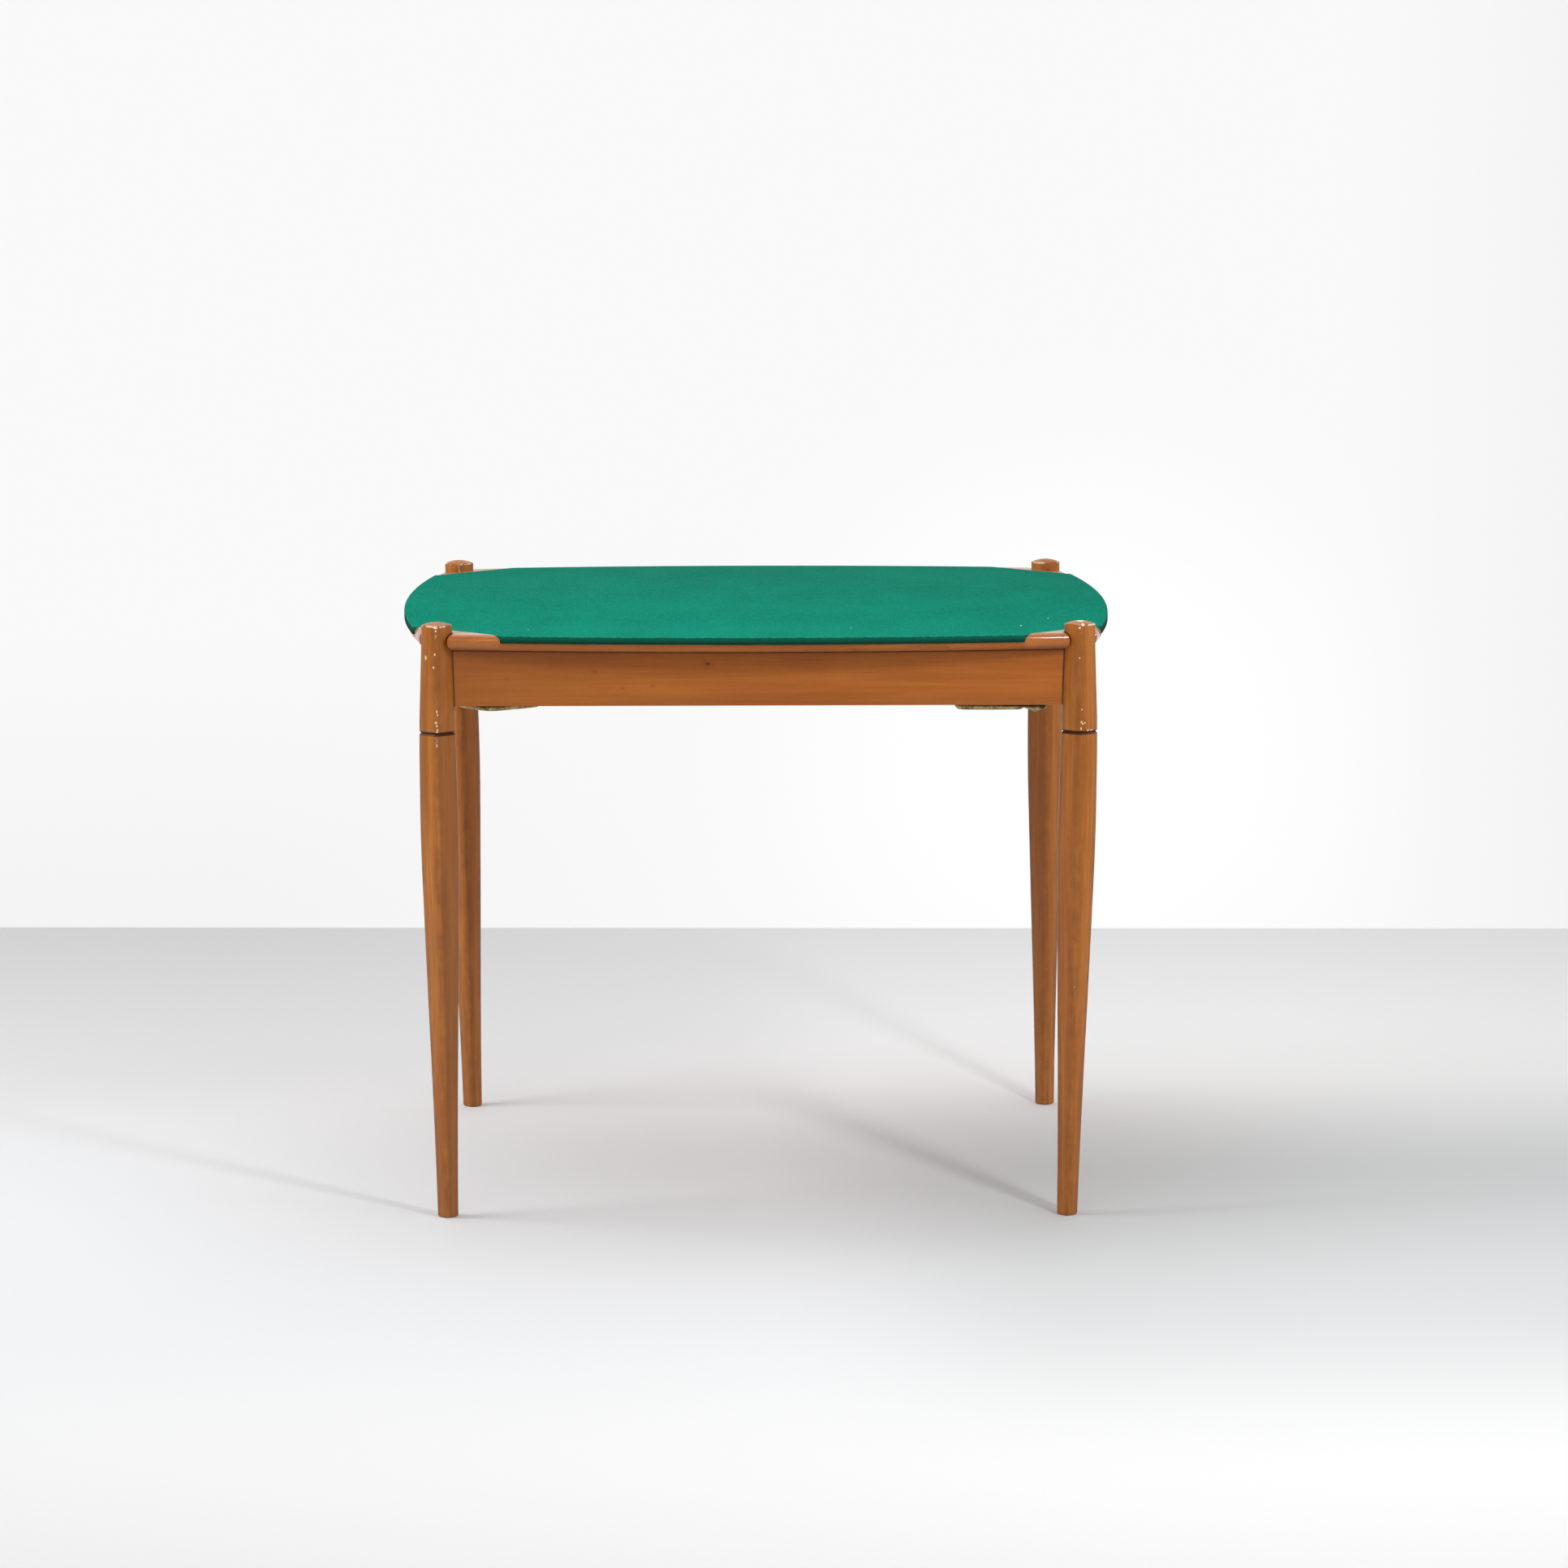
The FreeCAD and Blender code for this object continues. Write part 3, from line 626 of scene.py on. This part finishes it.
def makeFeltFinish(surface, edgeBottom):
    finish, tree, shader, where = newFinish("greenFelt")
    nap = noise(tree, where, 900, 3, 0.7)
    tuft = noise(tree, stretched(tree, where, (1, 0.16, 1)), 330, 3, 0.7, 0.3)
    cloud = noise(tree, stretched(tree, where, (1, 0.6, 1)), 8, 4, 0.6)
    tone = weighted(tree, (weighted(tree, (nap, 0.2), (tuft, 0.8)), 0.78), (cloud, 0.22))
    colour = blended(tree, fade(tree, tone, 0.36, 0.62), tint(*feltCloth["shade"]), tint(*feltCloth["top"]))
    spot = axesOf(tree, where)
    # painted shade over the back of the top, and painted light over its front
    for start, end, strength, mark in ((-0.25, 0.5, 0.3, "backShade"), (-0.2, -0.42, 0.09, "front")):
        mask = fade(tree, spot["Y"], start, end, 0.0, strength)
        colour = blended(tree, mask, colour, tint(*feltCloth[mark]))
    waver = wavered(tree, spot["Z"], tuft, 0.002)
    colour = overlaid(tree, colour, fadeFrom(tree, waver, surface, *feltEdge["fuzz"]), 0.3, feltCloth["rim"])
    # painted shade down the side of the felt
    sideShade = plus(tree, fadeFrom(tree, waver, surface, *feltEdge["sideShade"]),
                  fadeFrom(tree, waver, surface, *feltEdge["shaded"]))
    colour = blended(tree, sideShade, colour, tint(*feltCloth["edge"]))
    # a painted shadow along the lower edge of the felt
    hemShadow = fadeFrom(tree, waver, edgeBottom, *feltEdge["hemShadow"])
    distance, chance = scattered(tree, where, 34.0)
    specks = times(tree, fade(tree, distance, 0.034, 0.014), fade(tree, chance, 0.86, 0.87))
    hair = noise(tree, stretched(tree, where, (0.06, 1, 1), (0, 0, 0.35)), 330, 1, 0.4)
    scuffs = times(tree, fade(tree, hair, 0.68, 0.78), fade(tree, cloud, 0.48, 0.6))
    marks = [(hemShadow, 0.9, "hemShadow"), (scuffs, 0.25, "scuff"), (specks, 0.6, "lint")]
    for (across, back), (halfWidth, halfDepth), strength in feltMarks:
        mark = useGroup(tree, "spot", {"Vector": where, "Centre": (across, back, surface),
                                       "Size": (halfWidth, halfDepth, 0.01)})["Mask"]
        marks.append((mark, strength, "lint"))
    for mask, strength, mark in marks:
        colour = overlaid(tree, colour, mask, strength, feltCloth[mark])
    feedAll(tree, {"Base Color": colour, "Roughness": fade(tree, tuft, 0.3, 0.7, 0.88, 1.0),
                   "Specular IOR Level": 0.03, "Sheen Weight": 0.03, "Sheen Roughness": 0.5,
                   "Sheen Tint": tint(*feltCloth["sheen"])}, shader.inputs)
    bumped(tree, shader, plus(tree, nap, tuft), 0.45, 0.0007)
    return finish


brass = {
    "bright": (190, 172, 116),
    "dull": (142, 126, 84),
    "mottled": (76, 64, 42),
    "patina": (62, 54, 34),
    "shadow": (54, 40, 26),
    "scratch": (226, 212, 172),
}
brassShadow = (-0.003, -0.0014, 0.0, 0.7)      # metres from the top of the trays, and strengths


def makeBrassFinish():
    finish, tree, shader, where = newFinish("agedBrass")
    cloud = noise(tree, where, 48, 4, 0.65, 0.3)
    mottle = noise(tree, where, 300, 3, 0.7)
    patina = noise(tree, where, 120, 3, 0.6, 0.5)
    scratch = useGroup(tree, "handling", {"Vector": where})["Scratch"]
    colour = blended(tree, fade(tree, cloud, 0.38, 0.62), tint(*brass["bright"]), tint(*brass["dull"]))
    for mask, mark in ((fade(tree, mottle, 0.54, 0.66, 0.0, 0.5), "mottled"),
                       (fade(tree, patina, 0.52, 0.62, 0.0, 0.55), "patina"),
                       (fadeFrom(tree, axesOf(tree, where)["Z"], trayTop, *brassShadow), "shadow")):
        colour = blended(tree, mask, colour, tint(*brass[mark]))
    colour = overlaid(tree, colour, scratch, 0.5, brass["scratch"])
    rough = fade(tree, mottle, 0.3, 0.7, 0.24, 0.46)
    feedAll(tree, {"Base Color": colour, "Metallic": 1.0, "Roughness": rough}, shader.inputs)
    bumped(tree, shader, plus(tree, mottle, scratch), 0.18, 0.0003)
    return finish


steel = {"clean": (176, 174, 168), "stained": (128, 122, 112)}


def makeSteelFinish():
    finish, tree, shader, where = newFinish("plainSteel")
    turnMarks = noise(tree, stretched(tree, where, (0.1, 0.1, 1)), 2600, 2, 0.6)
    stain = noise(tree, where, 130, 4, 0.6)
    colour = blended(tree, fade(tree, stain, 0.4, 0.7), tint(*steel["clean"]), tint(*steel["stained"]))
    rough = fade(tree, stain, 0.3, 0.7, 0.3, 0.48)
    feedAll(tree, {"Base Color": colour, "Metallic": 1.0, "Roughness": rough}, shader.inputs)
    bumped(tree, shader, turnMarks, 0.15, 0.0001)
    return finish


finishes = {
    "railFront": makeRailFinish("polishedRailFront", "alongX", frontKnots),
    "railX": makeRailFinish("polishedRailBack", "alongX"),
    "railY": makeRailFinish("polishedRailSides", "alongY"),
    "corners": makeCornerFinish(),
    "stripX": makeStripFinish("polishedStripX", "alongX"),
    "stripY": makeStripFinish("polishedStripY", "alongY"),
    "plain": makePlainFinish(),
    "felt": makeFeltFinish(surfaceHeight, feltBottom),
    "brass": makeBrassFinish(),
    "steel": makeSteelFinish(),
}
for cornerIndex, cornerName in enumerate(corners):
    finishes["leg_" + cornerName] = makeLegFinish(cornerIndex, cornerName)
print("finishes made")


# Helpers for meshes

def finishedPiece(name, mesh, finish, body, standsFor, smoothUnder=32):
    piece = bpy.data.objects.new(name, mesh)
    bpy.context.scene.collection.objects.link(piece)
    mesh.materials.clear()
    mesh.materials.append(finish)
    mesh.polygons.foreach_set("use_smooth", [True] * len(mesh.polygons))
    mesh.set_sharp_from_angle(angle=math.radians(smoothUnder))
    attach(piece, body)
    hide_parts(*standsFor)
    return piece


def meshFrom(bm, name):
    mesh = bpy.data.meshes.new(name)
    bm.to_mesh(mesh)
    bm.free()
    return mesh


def rounded(bm, edges, radius, segments):
    return bmesh.ops.bevel(bm, geom=edges, offset=radius, offset_type="OFFSET", segments=segments,
                           profile=0.5, affect="EDGES", clamp_overlap=True, material=-1)["faces"]


def vertsIn(geom):
    return [item for item in geom if isinstance(item, bmesh.types.BMVert)]


def drawnOut(bm, faces, rise):
    grown = bmesh.ops.extrude_face_region(bm, geom=faces, use_keep_orig=True)["geom"]
    bmesh.ops.translate(bm, verts=vertsIn(grown), vec=Vector((0, 0, rise)))


def quarterTurn(quarters):
    return Matrix.Rotation(quarters * math.pi / 2, 3, "Z")


# The wooden edges of the board are sanded back a little from the felt.
sanding = {
    "strip": 0.0024,           # metres
    "corner": 0.082,           # share of what stands beyond the fixed line
    "fixedLine": 0.004,        # outside the axes of the legs
    "stripReach": 1.0062,      # lengthens a strip, so that it still meets the corner pieces
}


def sandStrip(bm, side):
    alongY = side in ("left", "right")
    inward = {"front": (0, 1, 0), "back": (0, -1, 0), "left": (1, 0, 0), "right": (-1, 0, 0)}[side]
    reach = (1, sanding["stripReach"], 1) if alongY else (sanding["stripReach"], 1, 1)
    bmesh.ops.scale(bm, verts=bm.verts, vec=Vector(reach))
    bmesh.ops.translate(bm, verts=bm.verts, vec=Vector(inward) * sanding["strip"])


def sandCorner(bm):
    line = legAxis + sanding["fixedLine"]
    for axis in (0, 1):
        for sign in (-1, 1):
            beyond = [vert for vert in bm.verts if sign * vert.co[axis] > line]
            fixed = middle.copy()
            fixed[axis] = -sign * line
            share = Vector((1, 1, 1))
            share[axis] = 1 - sanding["corner"]
            bmesh.ops.scale(bm, verts=beyond, vec=share, space=Matrix.Translation(fixed))


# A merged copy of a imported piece, its sharp arrises eased as a sanded piece has them
def easedCopy(nodeName, easing, sharpOver):
    bm = bmesh.new()
    bm.from_mesh(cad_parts[nodeName].data)
    bmesh.ops.remove_doubles(bm, verts=bm.verts, dist=slack["merge"])
    if nodeName.startswith("edge_strip_"):
        sandStrip(bm, nodeName[len("edge_strip_"):])
    if nodeName.startswith("top_corner_"):
        sandCorner(bm)
    bmesh.ops.dissolve_limit(bm, angle_limit=math.radians(0.5), verts=bm.verts, edges=bm.edges)
    arris = bm.loops.layers.float.new("arris")
    sharp = [edge for edge in bm.edges if edge.calc_face_angle(0.0) > math.radians(sharpOver)]
    for face in rounded(bm, sharp, easing, 2):
        for loop in face.loops:
            loop[arris] = 1.0
    return meshFrom(bm, nodeName + "_eased")


def easedPiece(node, finish, body, easing, sharpOver=25):
    mesh = easedCopy(node, easing, sharpOver)
    finishedPiece(node + "_finished", mesh, finishes[finish], body, [node])


# Wooden pieces

easings = {           # how far the arrises are eased, in metres
    "leg_block": 0.0008,
    "lower_leg": 0.0008,
    "apron": 0.0009,
    "top_corner": 0.0007,
    "edge_strip": 0.0004,
    "corner_brace": 0.0012,
    "tray": 0.0003,
    "pivot": 0.0002,
}


def dressWood():
    for corner in corners:
        for stem, body, finish, slot in (("leg_block_", "frame", "leg_" + corner, "polished_wood"),
                                         ("lower_leg_", "leg_" + corner, "leg_" + corner, "polished_wood"),
                                         ("top_corner_", "top", "corners", "polished_wood"),
                                         ("corner_brace_", "frame", "plain", "plain_wood")):
            easedPiece(stem + corner, finish, body, easings[stem[:-1]])
    for side in sides:
        along = "X" if side in ("front", "back") else "Y"
        rail = "railFront" if side == "front" else "rail" + along
        for stem, body, finish in (("apron_", "frame", rail), ("edge_strip_", "top", "strip" + along)):
            easedPiece(stem + side, finish, body, easings[stem[:-1]])


dressWood()
print("wood eased and polished")


# Felt

feltShape = {
    "bow": 0.038,              # how far each side of the board bulges
    "upperRound": 0.0025,
    "thickness": 0.0011,
    "tuck": 0.0007,            # where the felt dips to the seam at each corner piece
    "hemGap": 0.0006,          # between the felt and the wooden strip below it
    "setbacks": {"front_right": 0.028, "back_right": 0.030, "back_left": 0.030, "front_left": 0.034},
    "arcSteps": 48,
    "roundSteps": 5,
    "tuckSteps": 3,
    "rim": 0.004,              # a ring of faces inside the edge, which keeps the flat face flat
}


# |x| + |y| along the seam at a corner piece
def seamSum(corner):
    return 2 * legAxis - feltShape["setbacks"][corner] * math.sqrt(2)


# The bowed outline is one arc, spun and then copied round by quarter turns.
def bowedOutline(bm, half, bow, height, steps):
    corner = half - bow
    radius = (corner * corner + bow * bow) / (2 * bow)
    swing = math.asin(corner / radius)
    centre = Vector((0, radius - half, height))
    reach = Vector((-radius * math.sin(swing), -radius * math.cos(swing), 0))
    start = bmesh.ops.create_vert(bm, co=centre + reach)["vert"]
    bmesh.ops.spin(bm, geom=start, cent=centre, axis=upward, angle=2 * swing, steps=steps)
    side = list(bm.verts) + list(bm.edges)
    for quarters in (1, 2, 3):
        copied = bmesh.ops.duplicate(bm, geom=side)["geom"]
        bmesh.ops.rotate(bm, verts=vertsIn(copied), cent=Vector((0, 0, height)), matrix=quarterTurn(quarters))
    bmesh.ops.remove_doubles(bm, verts=bm.verts, dist=slack["mergeArcs"])
    bmesh.ops.edgeloop_fill(bm, edges=bm.edges)


def cutCorners(bm):
    for quarters, corner in enumerate(corners):
        outward = quarterTurn(quarters) @ Vector((1, -1, 0)).normalized()
        bmesh.ops.bisect_plane(bm, geom=list(bm.verts) + list(bm.edges) + list(bm.faces), dist=slack["cut"],
                               plane_co=outward * (seamSum(corner) / math.sqrt(2)), plane_no=outward,
                               clear_outer=True)


def onSeam(vert):
    depth = "front" if vert.co.y < 0 else "back"
    side = "right" if vert.co.x > 0 else "left"
    return abs(abs(vert.co.x) + abs(vert.co.y) - seamSum(depth + "_" + side)) < slack["seam"]


def feltMesh(shape, half, top, bottom):
    bm = bmesh.new()
    bowedOutline(bm, half, shape["bow"], top, shape["arcSteps"])
    cutCorners(bm)
    drawnOut(bm, list(bm.faces), bottom - top)
    bmesh.ops.recalc_face_normals(bm, faces=bm.faces)
    rims = [edge for edge in bm.edges if all(vert.co.z > top - slack["height"] for vert in edge.verts)]
    outer = [edge for edge in rims if not all(onSeam(vert) for vert in edge.verts)]
    rounded(bm, outer, shape["upperRound"], shape["roundSteps"])
    lowest = top - shape["upperRound"] - slack["height"]
    seams = [edge for edge in bm.edges if all(onSeam(vert) for vert in edge.verts)
             and sum(vert.co.z for vert in edge.verts) / 2 > lowest
             and any(face.normal.z > 0.3 for face in edge.link_faces)
             and any(abs(face.normal.z) < 0.3 for face in edge.link_faces)]
    rounded(bm, seams, shape["tuck"], shape["tuckSteps"])
    under = [face for face in bm.faces if face.normal.z < -0.9]
    bmesh.ops.delete(bm, geom=under, context="FACES")
    flat = [face for face in bm.faces if face.normal.z > 0.999 and face.calc_area() > 0.1]
    bmesh.ops.inset_region(bm, faces=flat, thickness=shape["rim"], use_even_offset=True)
    return meshFrom(bm, "felt_cover")


def makeFelt():
    mesh = feltMesh(feltShape, boardHalf, surfaceHeight, feltBottom + feltShape["hemGap"])
    felt = finishedPiece("felt_cover", mesh, finishes["felt"], "top", ["playing_felt"], 40)
    wall = felt.modifiers.new("thickness", "SOLIDIFY")
    wall.thickness = feltShape["thickness"]
    wall.offset = -1.0


makeFelt()
print("felt stretched over the core")

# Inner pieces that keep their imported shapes
for name, finish in (("top_core", "plain"), ("reverse_face", "stripX"), ("brace_screws", "steel")):
    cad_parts[name].data.materials.clear()
    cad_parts[name].data.materials.append(finishes[finish])


# Small metal pieces

fastener = {              # in metres
    "crest": 0.0039,
    "root": 0.0033,
    "pitch": 0.00125,
    "turnSteps": 20,
    "tip": 0.0012,
    "tipShare": 0.78,          # of the root's radius
    "sunk": 0.0001,            # the thread into its core
    "insertOuter": 0.0069,
    "insertBore": 0.00402,
    "insertMouth": 0.0005,
    "lagInward": 0.07566,      # from the axis of the leg to the face of the brace
    "lagFlange": 0.0009,
    "lagHead": 0.0031,
    "lagRadius": 0.0049,
    "lagShank": 0.0029,
    "lagBuried": 0.002,        # how far short of the leg's axis the shank ends
    "lagRim": 0.0004,
}


def cornerAxis(corner):
    return quarterTurn(corners.index(corner)) @ Vector((legAxis, -legAxis, 0))


def addCylinder(bm, centre, bottom, top, radius, tipRadius, segments):
    matrix = Matrix.Translation(Vector((centre.x, centre.y, (bottom + top) / 2)))
    bmesh.ops.create_cone(bm, cap_ends=True, segments=segments, radius1=radius, radius2=tipRadius,
                          depth=top - bottom, matrix=matrix)


# A ridge with a flat crest, spun upwards into a thread
def addThread(bm, centre, bottom, top, crest, root, pitch, steps):
    points = [(root, 0), (crest, 0.42), (crest, 0.52), (root, 0.94)]
    profile = bmesh.ops.create_vert(bm, co=centre + Vector((points[0][0], 0, bottom)))["vert"]
    edges = []
    for before, after in zip(points, points[1:]):
        grown = bmesh.ops.extrude_vert_indiv(bm, verts=profile[-1:])
        step = Vector((after[0] - before[0], 0, (after[1] - before[1]) * pitch))
        bmesh.ops.translate(bm, verts=grown["verts"], vec=step)
        profile.extend(grown["verts"])
        edges.extend(grown["edges"])
    turns = int((top - bottom) / pitch) - 1
    bmesh.ops.spin(bm, geom=profile + edges, cent=centre, axis=upward, angle=turns * 2 * math.pi,
                   dvec=Vector((0, 0, pitch / steps)), steps=turns * steps)


def steelPiece(bm, node, ending, body):
    finishedPiece(node + ending, meshFrom(bm, node), finishes["steel"], body, [node])


def makeStud(corner):
    node = "leg_stud_" + corner
    low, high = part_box(node)
    centre = cornerAxis(corner)
    root = fastener["root"]
    shoulder = high.z - fastener["tip"]
    bm = bmesh.new()
    addCylinder(bm, centre, low.z, shoulder, root, root, 24)
    addCylinder(bm, centre, shoulder, high.z, root, root * fastener["tipShare"], 24)
    addThread(bm, centre, low.z, shoulder, fastener["crest"], root - fastener["sunk"], fastener["pitch"],
              fastener["turnSteps"])
    bmesh.ops.recalc_face_normals(bm, faces=bm.faces)
    steelPiece(bm, node, "_threaded", "leg_" + corner)


def makeInserts():
    low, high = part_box("leg_inserts")
    bm = bmesh.new()
    for corner in corners:
        centre = Matrix.Translation(cornerAxis(corner) + Vector((0, 0, low.z)))
        loops = []
        for radius in (fastener["insertOuter"], fastener["insertBore"]):
            circle = bmesh.ops.create_circle(bm, cap_ends=False, segments=36, radius=radius, matrix=centre)
            loops.extend({edge for vert in circle["verts"] for edge in vert.link_edges})
        drawnOut(bm, bmesh.ops.bridge_loops(bm, edges=loops)["faces"], high.z - low.z)
    bmesh.ops.recalc_face_normals(bm, faces=bm.faces)
    mouths = [edge for edge in bm.edges if all(vert.co.z < low.z + slack["height"] for vert in edge.verts)
              and edge.calc_face_angle(0.0) > 1.0]
    rounded(bm, mouths, fastener["insertMouth"], 2)
    steelPiece(bm, "leg_inserts", "_turned", "frame")


# A lag screw with a flange and a hexagonal head, standing on the face of each brace
def makeLagScrews():
    low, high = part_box("lag_screws")
    inset, flange = fastener["lagInward"], fastener["lagFlange"]
    radius, shank = fastener["lagRadius"], fastener["lagShank"]
    bm = bmesh.new()
    for corner in corners:
        axis = cornerAxis(corner)
        inward = Vector((-axis.x, -axis.y, 0)).normalized()
        screw = bmesh.new()
        addCylinder(screw, middle, -inset + fastener["lagBuried"], 0, shank, shank, 16)
        addCylinder(screw, middle, 0, flange, radius, radius, 30)
        addCylinder(screw, middle, flange, flange + fastener["lagHead"], radius, radius, 6)
        rims = [edge for edge in screw.edges if edge.calc_face_angle(0.0) > 0.7
                and min(vert.co.z for vert in edge.verts) > flange + slack["height"]]
        rounded(screw, rims, fastener["lagRim"], 2)
        seat = axis + inward * inset + Vector((0, 0, (low.z + high.z) / 2))
        turn = inward.to_track_quat("Z", "Y").to_matrix().to_4x4()
        bmesh.ops.transform(screw, matrix=Matrix.Translation(seat) @ turn, verts=screw.verts)
        mesh = meshFrom(screw, "lag_screw")
        bm.from_mesh(mesh)
        bpy.data.meshes.remove(mesh)
    steelPiece(bm, "lag_screws", "_hexagonal", "frame")


def makeTrays():
    pieces = [("tray_" + corner, "tray_" + corner, "tray") for corner in corners]
    pieces += [(node, "frame", "pivot") for node in ("tray_pivot_screws", "tray_washers")]
    for node, body, easing in pieces:
        easedPiece(node, "brass", body, easings[easing], 30)


for cornerName in corners:
    makeStud(cornerName)
makeInserts()
makeLagScrews()
makeTrays()
print("metal pieces made")


# Studio

studio = {
    "wallMiddle": (0, 2.0135, 4),
    "wallTurn": -0.0253,
    "wall": (249, 249, 249),
    "wallBright": (255, 255, 255),
    "wallDim": (244, 244, 244),
    "floorFarLeft": (229, 229, 230),
    "floorFarRight": (252, 252, 252),
    "floorMidLeft": (230, 232, 234),
    "floorShadowRight": (216, 219, 220),
    "floorNear": (241, 241, 241),
}
studioFades = {           # where each tone passes into the next, in metres
    "farAcross": (-0.9, 0.9),
    "midAcross": (0.0, 0.4),
    "farToMid": (0.65, -0.15),
    "midToNear": (-0.9, -1.9),
    "wallGlow": (0.68, 0.2),          # from the middle of the glow
    "wallRight": (0.95, 1.4),
    "wallLow": (0.5, 0.0),
    "wallLeft": (0.1, -0.9),
}
glowMiddle = (0.55, 2.0, 0.29)


def flatPlate(name, size, centre, tilt, turn):
    bm = bmesh.new()
    bmesh.ops.create_grid(bm, x_segments=1, y_segments=1, size=0.5)
    bmesh.ops.scale(bm, vec=Vector((size[0], size[1], 1)), verts=bm.verts)
    bmesh.ops.rotate(bm, verts=bm.verts, cent=middle, matrix=Matrix.Rotation(tilt, 3, "X"))
    bmesh.ops.rotate(bm, verts=bm.verts, cent=middle, matrix=Matrix.Rotation(turn, 3, "Z"))
    bmesh.ops.translate(bm, verts=bm.verts, vec=Vector(centre))
    plate = bpy.data.objects.new(name, meshFrom(bm, name))
    bpy.context.scene.collection.objects.link(plate)
    return plate


# the tones of the first and second name, from start to end along one axis
def crossed(tree, value, fadeName, first, second):
    ends = [tint(*studio[item]) if isinstance(item, str) else item for item in (first, second)]
    return blended(tree, fade(tree, value, *studioFades[fadeName]), *ends)


# The floor's tones are painted light and shade: a painted shadow band under and right of the table, with a faint
# cool cast against the reddish light bounced from the wood, and a far floor painted brighter to the right.
def makeFloor():
    finish, tree, shader, where = newFinish("paleFloor")
    spot = axesOf(tree, where)
    far = crossed(tree, spot["X"], "farAcross", "floorFarLeft", "floorFarRight")
    mid = crossed(tree, spot["X"], "midAcross", "floorMidLeft", "floorShadowRight")
    colour = crossed(tree, spot["Y"], "farToMid", far, mid)
    colour = crossed(tree, spot["Y"], "midToNear", colour, "floorNear")
    feedAll(tree, {"Base Color": colour, "Roughness": 0.7, "Specular IOR Level": 0.1}, shader.inputs)
    floor = flatPlate("floor", (40, 40), (0, 0, 0), 0, 0)
    floor.data.materials.append(finish)


# The wall shows to the camera and in reflections from its front, and lets light through.
def makeWall():
    finish, tree, shader, where = newFinish("paleWall")
    tree.nodes.remove(shader)
    out = tree.nodes["Material Output"]
    rays = tree.nodes.new("ShaderNodeLightPath").outputs
    seen = larger(tree, rays["Is Camera Ray"],
                  larger(tree, rays["Is Glossy Ray"], rays["Is Transmission Ray"]))
    front = minus(tree, 1.0, tree.nodes.new("ShaderNodeNewGeometry").outputs["Backfacing"])
    spot = axesOf(tree, where)
    away = reckonVector(tree, "DISTANCE", where, glowMiddle)["Value"]
    level = crossed(tree, away, "wallGlow", "wall", "wallBright")
    level = crossed(tree, spot["X"], "wallRight", level, "wallDim")
    low = times(tree, fade(tree, spot["Z"], *studioFades["wallLow"]),
                fade(tree, spot["X"], *studioFades["wallLeft"]))
    level = blended(tree, low, level, tint(*studio["wallDim"]))
    glow = place(tree, "Emission", {"Color": level, "Strength": 1.0}).outputs[0]
    clear = tree.nodes.new("ShaderNodeBsdfTransparent").outputs[0]
    mix = place(tree, "MixShader", {0: times(tree, seen, front), 1: clear, 2: glow})
    tree.links.new(mix.outputs[0], out.inputs["Surface"])
    wall = flatPlate("wall", (12, 8), studio["wallMiddle"], math.pi / 2, studio["wallTurn"])
    wall.data.materials.append(finish)


lamps = {                 # size, place, aim and power of each soft lamp
    "overhead": ((2.8, 2.2), (-0.4, 0.7, 3.3), (0, 0, 0.4), 30),
    "leftKey": ((1.8, 1.8), (-2.6, -0.4, 2.6), (0, 0, 0.4), 45),
    "frontFill": ((2.6, 1.6), (-1.2, -5.0, 2.6), (0, 0, 0.5), 26),
    "rightSoft": ((1.2, 1.2), (1.9, -1.6, 1.9), (0.1, 0, 0.5), 6),
    "rightStrip": ((0.22, 0.5), (1.15, -2.2, 2.0), (0.3, -0.4, 0.7), 20),
}


def softLamp(name, size, location, aim, power):
    lamp = bpy.data.lights.new(name, "AREA")
    lamp.shape = "RECTANGLE"
    lamp.size = size[0]
    lamp.size_y = size[1]
    lamp.energy = power
    holder = bpy.data.objects.new(name, lamp)
    bpy.context.scene.collection.objects.link(holder)
    holder.location = location
    holder.rotation_euler = (Vector(aim) - Vector(location)).to_track_quat("-Z", "Y").to_euler()


def makeWorld():
    world = bpy.data.worlds.new("studioAir")
    bpy.context.scene.world = world
    world.use_nodes = True
    tree = world.node_tree
    back = tree.nodes["Background"]
    direction = tree.nodes.new("ShaderNodeTexCoord").outputs["Generated"]
    rays = tree.nodes.new("ShaderNodeLightPath").outputs
    level = fade(tree, axesOf(tree, direction)["X"], -0.9, 0.9, 0.38, 0.56)
    colour = blended(tree, rays["Is Camera Ray"], grey(tree, level), tint(*studio["wall"]))
    feedAll(tree, {"Color": colour, "Strength": 1.0}, back.inputs)


makeFloor()
makeWall()
makeWorld()
for lampName, lampValues in lamps.items():
    softLamp(lampName, *lampValues)
print("studio lit")
